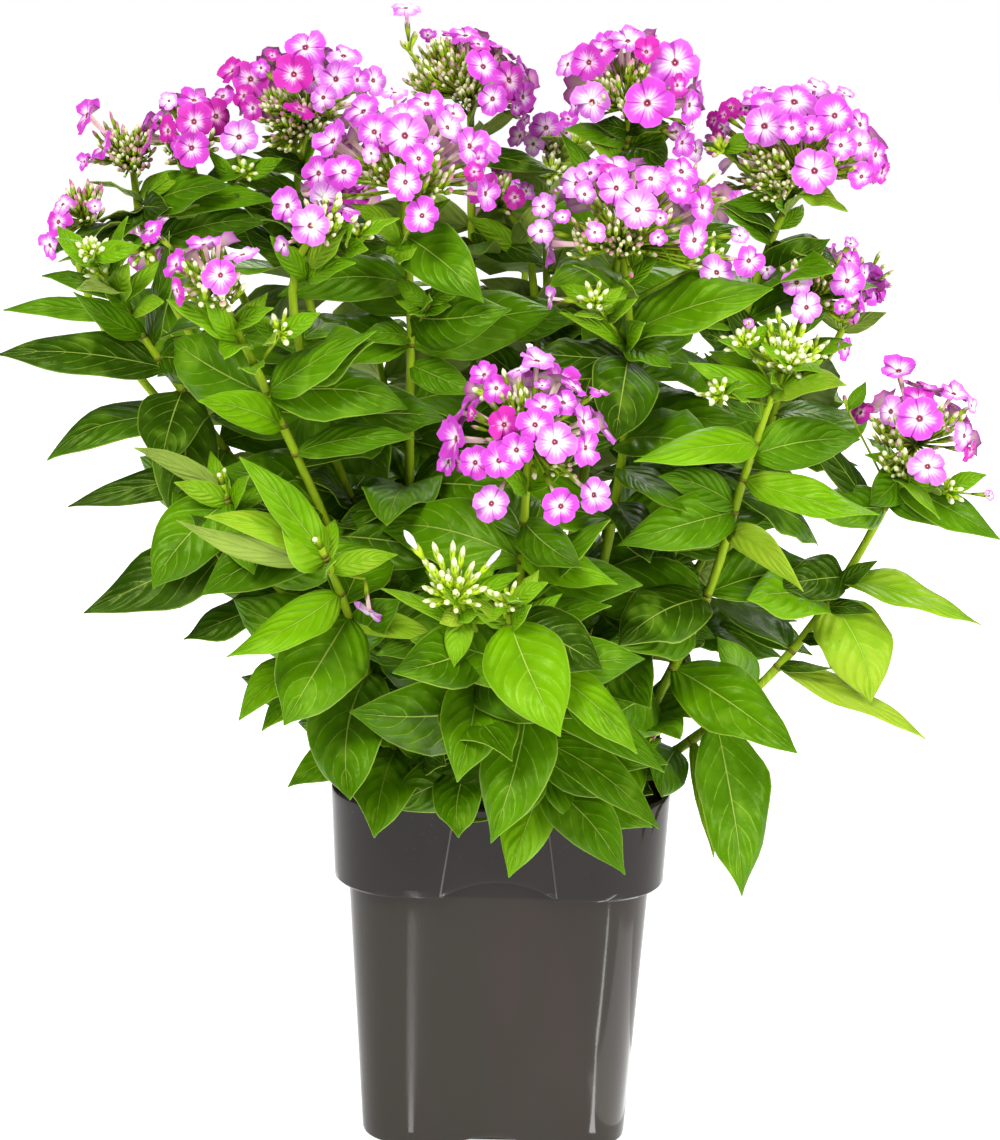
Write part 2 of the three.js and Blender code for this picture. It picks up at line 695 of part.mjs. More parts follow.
// Where a shoot's head sits: the stalk's top, the way it points there, and the core's middle.
function headSeat(shoot) {
  const curve = stalkCurve(shoot.route);
  const top = curve.getPoint(1);
  const way = curve.getTangent(1);
  return { top, way, middle: top.clone().addScaledVector(way, GAP + CORE.widest) };
}

function headSolid(shoot) {
  const { florets, radius, spread, lean } = shoot.head;
  const { top, way, middle } = headSeat(shoot);
  const size = FLORET.cover * radius * Math.sqrt((2 * (1 - Math.cos(spread * DEGREE))) / florets);
  const core = turned(
    [[0, 0], [CORE.foot, 0], [CORE.radius, CORE.widest], [0, CORE.height]],
    CORE.sides, top.clone().addScaledVector(way, GAP), way,
  );
  const directions = capDirections(florets, spread, vector(lean).normalize());
  return join([core, ...directions.map((direction, i) =>
    floretSolid(middle, direction, radius, size, i * GOLDEN_ANGLE))]);
}

// The buds of a shoot, as slim spindles. Under florets they stand out in a ring from just below
// the head; on a shoot with none they cover a cap of their own.
function budItems(shoot) {
  const { florets, radius, spread, lean, buds } = shoot.head;
  const { top, way } = headSeat(shoot);
  const axis = vector(lean).normalize();
  if (florets === 0) {
    return capDirections(buds, spread, axis).map((direction) => (
      { base: top.clone(), tip: top.clone().addScaledVector(direction, radius), width: 2 * BUD.radius }));
  }
  const base = stalkPoint(stalkCurve(shoot.route), BUD.ringAt);
  const side = new THREE.Vector3(-way.z, 0, way.x).normalize();
  return Array.from({ length: buds }, (_, i) => {
    const direction = side.clone().applyAxisAngle(way, (i / buds) * 2 * Math.PI)
      .addScaledVector(way, -0.15 + 0.5 * chance(i, buds, 7)).normalize();
    return { base, tip: base.clone().addScaledVector(direction, BUD.length + 5), width: 2 * BUD.radius };
  });
}

function budSolid({ base, tip, width }, extra = 0) {
  const reach = tip.clone().sub(base);
  const length = reach.length() + extra;
  return turned([[0, 0], [width / 2 + extra, length * BUD.fullest], [0, length]], BUD.sides,
    base, reach.normalize());
}

// ---------- The plant ----------

// Solids already placed, each with the shoot that it belongs to.
const placed = [];

function boxesMeet(a, b) {
  return a.min.every((low, axis) => low <= b.max[axis] && b.min[axis] <= a.max[axis]);
}

function place(solid, owner, fused) {
  placed.push({ solid, owner, fused, box: solid.boundingBox() });
}

// Whether a stouter copy of a new piece keeps off everything placed. Its own stalk doesn't count,
// and its own stem's leaves count only for the part of it that lies away from the stalk.
function isClear(whole, outer, owner) {
  const box = whole.boundingBox();
  return placed.every((other) => {
    if (other.owner === owner && other.fused) return true;
    if (!boxesMeet(box, other.box)) return true;
    const tried = other.owner === owner ? outer : whole;
    return tried.intersect(other.solid).isEmpty();
  });
}

// Grows a leaf or bud in the first bend that is clear, and gives it back, or null.
function grow(item, owner, solidFor) {
  for (const bend of BENDS) {
    const tried = bent(item, bend);
    if (!isClear(solidFor(tried, BLADE.clearance, 0), solidFor(tried, BLADE.clearance, 0.16), owner)) {
      continue;
    }
    const solid = solidFor(tried, 0, 0);
    place(solid, owner, false);
    return solid;
  }
  return null;
}

const leafMaterial = new THREE.MeshStandardMaterial({ color: "#4f9a2a", roughness: 0.5 });
const petalMaterial = new THREE.MeshStandardMaterial({ color: "#e86fd8", roughness: 0.6 });
const potMaterial = new THREE.MeshStandardMaterial({ color: "#4b4640", roughness: 0.35 });
const soilMaterial = new THREE.MeshStandardMaterial({ color: "#3a2a20", roughness: 1 });

function named(name, solid, material) {
  const { vertProperties, triVerts } = solid.getMesh();
  const geometry = new THREE.BufferGeometry();
  geometry.setAttribute("position", new THREE.BufferAttribute(new Float32Array(vertProperties), 3));
  geometry.setIndex(new THREE.BufferAttribute(new Uint32Array(triVerts), 1));
  const mesh = new THREE.Mesh(geometry, material);
  mesh.name = name;
  return mesh;
}

const plant = new THREE.Group();

const curves = SHOOTS.map((shoot) => stalkCurve(shoot.route));
const pot = makePot();
const soil = makeSoil(curves.map((curve) => stalkSolid(curve, GAP)));
place(pot, "pot", false);
place(soil, "soil", false);
plant.add(named("pot", pot, potMaterial), named("soil", soil, soilMaterial));

const grown = SHOOTS.map((shoot, number) => {
  const stalk = stalkSolid(curves[number]);
  place(stalk, shoot.name, true);
  return { shoot, number, parts: [stalk] };
});

for (const { shoot } of grown) {
  if (shoot.head.florets === 0) continue;
  const flowers = headSolid(shoot);
  place(flowers, `${shoot.name}_flowers`, false);
  plant.add(named(`flowers_${shoot.name}`, flowers, petalMaterial));
}

for (const { shoot, parts } of grown) {
  if (shoot.head.florets === 0) {
    const knot = new THREE.IcosahedronGeometry(BUD_HEAD_RADIUS, 0);
    knot.translate(...curves[SHOOTS.indexOf(shoot)].getPoint(1).toArray());
    parts.push(solidOf(knot));
    place(parts.at(-1), shoot.name, true);
  }
  for (const bud of budItems(shoot)) parts.push(grow(bud, shoot.name, budSolid));
}

for (const { shoot, number, parts } of grown) {
  for (const hand of shoot.leaves) {
    const item = { ...hand, base: stalkPoint(curves[number], hand.at), tip: vector(hand.tip) };
    parts.push(grow(item, shoot.name, bladeSolid));
  }
}

for (const { shoot, number, parts } of grown) {
  for (const item of ruleLeaves(shoot, number)) {
    parts.push(grow(item, shoot.name, bladeSolid));
  }
}

for (const { shoot, parts } of grown) {
  plant.add(named(`stem_${shoot.name}`, join(parts.filter(Boolean)), leafMaterial));
}

export default plant;
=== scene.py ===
"""A garden phlox in full flower in its square nursery container: the dressed model.

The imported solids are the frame. Every stem, flower head, the container and the soil is replaced
by a finer piece on the same routes and sizes. Lengths in the tables are millimetres.
"""
import logging
import math
from dataclasses import dataclass, field, replace
from enum import Enum
from itertools import product
from typing import Callable, Iterable, Sequence

import bmesh
import bpy
import numpy as np
from mathutils import Euler, Matrix, Vector
from mathutils.kdtree import KDTree


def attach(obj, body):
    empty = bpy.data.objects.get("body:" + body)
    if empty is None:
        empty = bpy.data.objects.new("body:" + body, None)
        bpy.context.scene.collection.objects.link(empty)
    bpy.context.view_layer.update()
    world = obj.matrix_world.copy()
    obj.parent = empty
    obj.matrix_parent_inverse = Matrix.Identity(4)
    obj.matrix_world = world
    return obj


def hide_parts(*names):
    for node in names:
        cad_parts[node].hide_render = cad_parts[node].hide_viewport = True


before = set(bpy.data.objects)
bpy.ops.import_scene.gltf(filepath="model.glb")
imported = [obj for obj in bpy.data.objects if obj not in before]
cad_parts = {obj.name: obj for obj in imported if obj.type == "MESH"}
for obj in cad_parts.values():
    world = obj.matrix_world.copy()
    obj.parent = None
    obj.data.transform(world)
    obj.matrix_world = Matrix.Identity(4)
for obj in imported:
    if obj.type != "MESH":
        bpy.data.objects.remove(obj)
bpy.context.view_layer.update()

LOG = logging.getLogger("phlox")
MM = 0.001
GOLDEN = math.radians(137.508)
UP = Vector((0, 0, 1))
FRONT = Vector((-3, -1300, 625))  # where the plant's best side is seen from

Array = np.ndarray
Point = tuple[float, float, float]
Bloom = tuple[float, float, float, float, float, float, float]


class Slot(Enum):
    """Names of the material slots."""

    CONTAINER = "container"
    SOIL = "soil"
    LEAF = "leaf"
    PETAL = "petal"


class Tone(Enum):
    """How light and how yellow a leaf is: 0 is the darkest, 1 a leaf that has just opened."""

    DARK = 0.12
    MID = 0.4
    BRIGHT = 0.68
    YOUNG = 0.93


# ---------- The plant's tables ----------


@dataclass(frozen=True)
class Leaf:
    """A listed leaf: its place on the stem, tip, width, tone, arch and roll."""

    at: float
    tip: Point
    width: float
    tone: Tone = Tone.MID
    arch: float = 0.08
    roll: float = 0.0


@dataclass(frozen=True)
class Head:
    """A head in the solids: florets, radius, spread, the lean of its axis, and buds."""

    florets: int
    radius: float
    spread: float
    lean: Point
    buds: int


@dataclass(frozen=True)
class BudZone:
    """A part of a head in bud: its middle, its half angle, how pink and how large its buds are."""

    way: Point
    angle: float
    pink: float = 0.2
    coarse: float = 1.0


@dataclass(frozen=True)
class Shoot:
    """One leafy shoot: its route, its head, its pairs of leaves and how its head is dressed."""

    name: str
    route: tuple[Point, Point, Point, Point]
    head: Head
    rule: int
    leaves: tuple[Leaf, ...] = ()
    floret: float = 11.0
    zones: tuple[BudZone, ...] = ()
    deep: float = 0.5


@dataclass(frozen=True)
class Sprig:
    """A side shoot: its place on the stem, its tip, how many buds and leaves, and its florets."""

    at: float
    tip: Point
    buds: int
    leaves: int
    tone: float
    pink: float = 0.0
    blooms: tuple[Bloom, ...] = ()


D, M, B, Y = Tone.DARK, Tone.MID, Tone.BRIGHT, Tone.YOUNG


def leaves(*rows: tuple[float | Tone, ...]) -> tuple[Leaf, ...]:
    """Leaves from rows of place, tip, width and, where they differ, tone, arch and roll."""
    return tuple(Leaf(row[0], row[1:4], *row[4:]) for row in rows)


def zones(*rows: tuple[float, ...]) -> tuple[BudZone, ...]:
    """Parts of a head in bud, from rows of way, angle and, where they differ, pink and size."""
    return tuple(BudZone(row[:3], *row[3:]) for row in rows)


SHOOTS = (
    Shoot("centre_left", ((-14, -22, 160), (-46, -38, 311), (-50, -45, 395), (-54, -48, 494)),
        Head(11, 46, 96, (0, -0.35, 1), 2), 3, leaves((0.95, -15, -95, 455, 31, M, 0.1),
        (0.88, -110, -80, 450, 26, M, 0.12)), 11.3, zones((0.49, -0.86, 0.14, 15, 0.15, 1.2),
        (-0.37, -0.87, 0.31, 10, 0)), 0.4),
    Shoot("front", ((6, -46, 160), (7, -95, 260), (7, -125, 319), (9, -136, 386)),
        Head(10, 38, 92, (0, -0.6, 0.8), 0), 3, leaves((0.81, 50, -165, 335, 21, B),
        (0.87, 35, -185, 345, 22)), 10.0, zones((-0.2, -0.58, 0.79, 13, 0.1),
        (0.55, -0.77, -0.33, 11, 0.1)), 0.62),
    Shoot("far_right", ((44, -6, 160), (100, -36, 218), (150, -40, 270), (206, -22, 368)),
        Head(8, 33, 84, (0.3, -0.4, 0.85), 5), 1, leaves((0.37, 125, -95, 155, 42, M, 0.05),
        (0.27, 80, -95, 205, 28, M, 0.06), (0.31, 110, -70, 165, 11, Y, 0.04, 40),
        (0.69, 189, -62, 248, 40, Y, 0.06), (0.53, 219, -60, 232, 16, Y, 0.04),
        (0.73, 241, -55, 287, 22, Y, 0.25), (0.94, 250, -45, 330, 27, M, 0.06),
        (0.95, 215, -75, 350, 18, B, 0.06), (0.89, 150, -60, 350, 25),
        (0.68, 120, -75, 303, 33, B, 0.1)), 10.5, zones((-0.7, -0.62, 0.34, 22, 0.05, 1.2),
        (-0.41, -0.82, -0.4, 22, 0, 1.2), (0.35, -0.7, 0.6, 16)), 0.6),
    Shoot("right_bud", ((38, -30, 160), (93, -60, 278), (111, -68, 340), (133, -70, 420)),
        Head(0, 16, 100, (0, -0.2, 1), 10), 1, leaves((0.56, 55, -130, 295, 35, D, 0.07),
        (0.34, 50, -115, 250, 38, M, 0.07), (0.41, 145, -110, 235, 38, M, 0.07),
        (0.21, 65, -110, 205, 27, M, 0.05), (0.79, 180, -100, 355, 21, B, 0.1),
        (0.69, 140, -130, 324, 16, Y, 0.16, 30), (0.86, 60, -125, 385, 22, B, 0.12),
        (0.73, 55, -110, 340, 28, M, 0.14), (0.95, 155, -120, 430, 19, Y, 0.08, 30),
        (0.96, 85, -90, 425, 14, B, 0.06)), 10.0, (), 0.5),
    Shoot("right_top", ((26, 14, 160), (80, 8, 280), (113, 10, 402), (145, 20, 500)),
        Head(10, 43, 94, (0.05, -0.2, 1), 0), 3, leaves((0.97, 105, 5, 490, 12),
        (0.99, 170, 0, 490, 17, Y, 0.1), (0.91, 105, 0, 490, 15, M, 0.1),
        (0.91, 165, -10, 465, 21, D, 0.1)), 11.6, zones((-0.73, -0.56, 0.4, 14, 0.3),
        (0.43, -0.87, 0.24, 11, 0.1), (-0.6, -0.8, -0.05, 23, 0.1), (-0.84, 0.52, 0, 22, 0.1)),
        0.42),
    Shoot("right_middle", ((50, 26, 160), (109, 34, 274), (136, 24, 365), (152, 10, 437)),
        Head(6, 29, 84, (0.4, -0.3, 0.9), 5), 2, (), 10.5, zones((0.27, -0.71, 0.65, 22, 0.1),
        (-0.45, -0.48, 0.75, 17, 0.1), (0.69, -0.7, -0.19, 14, 0.5)), 0.5),
    Shoot("centre_right", ((14, -26, 160), (44, -35, 280), (58, -50, 383), (54, -58, 470)),
        Head(10, 44, 90, (0, -0.4, 0.9), 2), 3, leaves((0.88, 125, -85, 460, 35),
        (0.84, 50, -115, 390, 35, D, 0.06)), 10.8, zones((-0.01, -0.98, 0.18, 17, 0.15),
        (0.48, -0.73, 0.49, 10, 0.1), (0.97, -0.24, -0.09, 12, 0), (-0.58, -0.8, 0.15, 15, 0.15)),
        0.36),
    Shoot("upper_right", ((12, 8, 160), (29, 5, 280), (47, 8, 398), (57, 10, 532)),
        Head(9, 37, 92, (0, -0.25, 1), 0), 3, leaves((0.97, 25, -15, 530, 15),
        (0.96, 75, -20, 515, 24, D, 0.1)), 12.4, zones((-0.53, -0.8, 0.29, 19, 0),
        (0.1, -0.75, 0.65, 13), (-0.1, -0.99, -0.04, 10, 0)), 0.55),
    Shoot("upper_left", ((-24, 8, 160), (-40, 10, 277), (-94, 15, 399), (-108, 22, 524)),
        Head(9, 38, 92, (0, -0.25, 1), 0), 3, (), 11.3, zones((-0.33, -0.93, -0.15, 29, 0.1),
        (-0.6, -0.76, 0.25, 12, 0.1), (0.3, -0.95, -0.03, 17, 0.1)), 0.62),
    Shoot("left_high", ((-36, 20, 160), (-56, 20, 274), (-118, 22, 392), (-168, 22, 508)),
        Head(6, 26, 84, (-0.1, -0.35, 0.9), 2), 2, leaves((0.88, -180, 0, 485, 24),
        (0.95, -130, -5, 510, 18, M, 0.06)), 10.6, zones((0.5, -0.87, -0.05, 16, 0.3),
        (-0.12, -0.96, -0.26, 18)), 0.7),
    Shoot("left_top", ((-50, 6, 160), (-64, 10, 266), (-146, 20, 381), (-198, 30, 498)),
        Head(3, 24, 45, (-0.8, -0.3, 0.5), 9), 2, leaves((0.95, -120, 0, 480, 24, M, 0.1),
        (0.95, -235, -15, 460, 25, D)), 10.0, zones((0.05, -0.95, 0.3, 42, 0.2),
        (-0.68, 0.42, 0.6, 20, 0.3)), 0.7),
    Shoot("middle_top", ((-4, 32, 160), (-14, 40, 270), (-20, 50, 400), (-24, 58, 532)),
        Head(8, 36, 86, (0.35, -0.15, 0.9), 2), 3, leaves((0.97, -15, 20, 550, 11, B, 0.05),
        (0.94, 20, 20, 505, 15, D)), 10.8, zones((-0.81, -0.1, 0.58, 38, 0.1),
        (-0.39, -0.72, 0.57, 24, 0.1), (-0.07, -1, 0.06, 16, 0)), 0.62),
    Shoot("left_front", ((-34, -34, 160), (-66, -60, 274), (-105, -95, 381), (-136, -116, 454)),
        Head(5, 24, 75, (-0.3, -0.6, 0.7), 5), 1, leaves((0.78, -145, -140, 410, 19, B, 0.06),
        (0.84, -65, -130, 445, 24, M, 0.1), (0.73, -45, -115, 390, 17)), 9.8,
        zones((0.29, -0.95, -0.13, 34, 0, 1.6), (-0.33, -0.87, 0.36, 14, 0.1)), 0.55),
    Shoot("far_left", ((-54, -14, 160), (-72, -25, 253), (-143, -42, 367), (-200, -50, 454)),
        Head(0, 12, 90, (-0.3, -0.2, 0.9), 5), 1, leaves((0.84, -250, -75, 420, 26, D, 0.06),
        (0.93, -250, -60, 440, 14, M, 0.05), (0.75, -230, -70, 370, 31, D),
        (0.64, -220, -60, 340, 20, D, 0.06), (0.8, -165, -95, 365, 35, D, 0.05),
        (0.69, -160, -90, 330, 33, M, 0.05), (0.86, -135, -90, 410, 25, D),
        (0.9, -210, -80, 450, 14, M, 0.1), (0.98, -190, -60, 485, 9, B, 0.05),
        (0.96, -235, -40, 455, 11, M, 0.05))),
    Shoot("low_left_tip", ((-28, -52, 160), (-57, -90, 236), (-72, -125, 295), (-87, -148, 343)),
        Head(0, 8, 60, (-0.2, -0.5, 0.8), 3), 1, leaves((0.98, -120, -170, 390, 19, B, 0.04),
        (0.97, -139, -165, 361, 15, Y, 0.12), (0.97, -152, -150, 356, 13, M, -0.25, 140),
        (0.96, -105, -160, 361, 28, B, 0.05), (0.87, -125, -200, 305, 22, B),
        (0.8, -100, -190, 270, 43, M, 0.06), (0.61, -70, -180, 230, 41, M, 0.05),
        (0.35, -60, -150, 205, 35, M, 0.06))),
    Shoot("front_bud", ((-8, -60, 160), (-16, -105, 234), (-11, -145, 282), (-22, -176, 328)),
        Head(0, 17, 105, (-0.1, -0.4, 0.9), 11), 1, leaves((0.34, -20, -145, 200, 26, M, 0.06),
        (0.69, -20, -200, 250, 31, M, 0.06))),
    Shoot("low_front", ((18, -66, 160), (22, -90, 204), (13, -140, 263), (1, -178, 322)),
        Head(0, 7, 70, (0, -0.3, 1), 4), 0, leaves((0.69, -5, -190, 215, 37, M, 0.06),
        (0.31, 5, -130, 175, 26, B), (0.42, -5, -135, 200, 21, M, 0.06), (0.32, 60, -145, 185, 30),
        (0.52, 75, -165, 215, 22), (0.35, 75, -115, 185, 31, M, 0.06),
        (0.97, 25, -225, 280, 39, B), (0.84, 60, -210, 265, 24, B, 0.1), (0.71, 75, -185, 250, 21),
        (0.96, 45, -190, 300, 31, D))),
    Shoot("left_side", ((-60, 6, 160), (-70, -4, 258), (-174, 4, 373), (-222, 12, 468)),
        Head(5, 18, 75, (-0.9, -0.3, 0.3), 0), 1, (), 10.0, zones((0, -0.3, 0.95, 36, 0.5),
        (0.39, -0.87, 0.31, 20, 0.3)), 0.6),
    Shoot("left_centre", ((-34, -10, 160), (-60, -34, 288), (-99, -62, 405), (-97, -86, 480)),
        Head(4, 20, 70, (-0.3, -0.7, 0.6), 3), 3, (), 10.8, zones((0.43, -0.86, 0.28, 34, 0, 1.3)),
        0.45),
    Shoot("middle_small", ((2, 20, 160), (12, 26, 274), (14, 36, 409), (-2, 40, 480)),
        Head(4, 16, 70, (0, -0.5, 0.9), 0), 2, (), 9.5, zones((0.01, -0.6, 0.8, 23)), 0.6),
    Shoot("middle_back", ((10, 40, 160), (24, 52, 267), (21, 66, 388), (18, 78, 504)),
        Head(4, 17, 70, (0, -0.3, 1), 0), 2, (), 9.5, zones((0.19, -0.98, 0.09, 26, 0.1)), 0.6),
    Shoot("left_low", ((-52, -36, 160), (-94, -62, 271), (-121, -82, 317), (-139, -92, 360)),
        Head(0, 7, 70, (-0.3, -0.3, 1), 3), 0, leaves((0.85, -205, -100, 295, 35, D, 0.06),
        (0.96, -170, -120, 315, 34, M, 0.06), (0.69, -160, -85, 280, 27, D, 0.06),
        (0.97, -180, -110, 382, 11, M, 0.04, 150), (0.94, -120, -130, 325, 25, M, 0.06),
        (0.5, -130, -110, 250, 26, B, 0.05), (0.42, -120, -95, 240, 22, B, 0.05),
        (0.23, -105, -100, 210, 22, M, 0.05))),
    Shoot("back_left", ((-42, 36, 160), (-88, 62, 275), (-142, 92, 365), (-188, 120, 440)),
        Head(5, 30, 80, (-0.4, 0.3, 0.9), 0), 3, zones=zones((-0.3, 0.8, 0.4, 20, 0.1))),
    Shoot("back_mid_left", ((-20, 48, 160), (-46, 86, 280), (-72, 128, 375), (-96, 164, 465)),
        Head(6, 32, 84, (-0.2, 0.4, 0.9), 0), 3),
    Shoot("back_middle", ((4, 52, 160), (4, 100, 275), (6, 150, 365), (8, 188, 450)),
        Head(6, 32, 84, (0, 0.4, 0.9), 0), 4, zones=zones((0.5, 0.8, 0.3, 17, 0.1),
        (-0.2, 0.6, 0.8, 12))),
    Shoot("back_mid_right", ((26, 46, 160), (52, 84, 280), (76, 124, 375), (98, 160, 470)),
        Head(6, 32, 84, (0.2, 0.4, 0.9), 0), 3, zones=zones((-0.3, 0.9, 0, 18, 0.1))),
    Shoot("back_right", ((46, 38, 160), (98, 60, 270), (150, 84, 355), (192, 106, 430)),
        Head(5, 30, 80, (0.4, 0.3, 0.9), 0), 3),
)

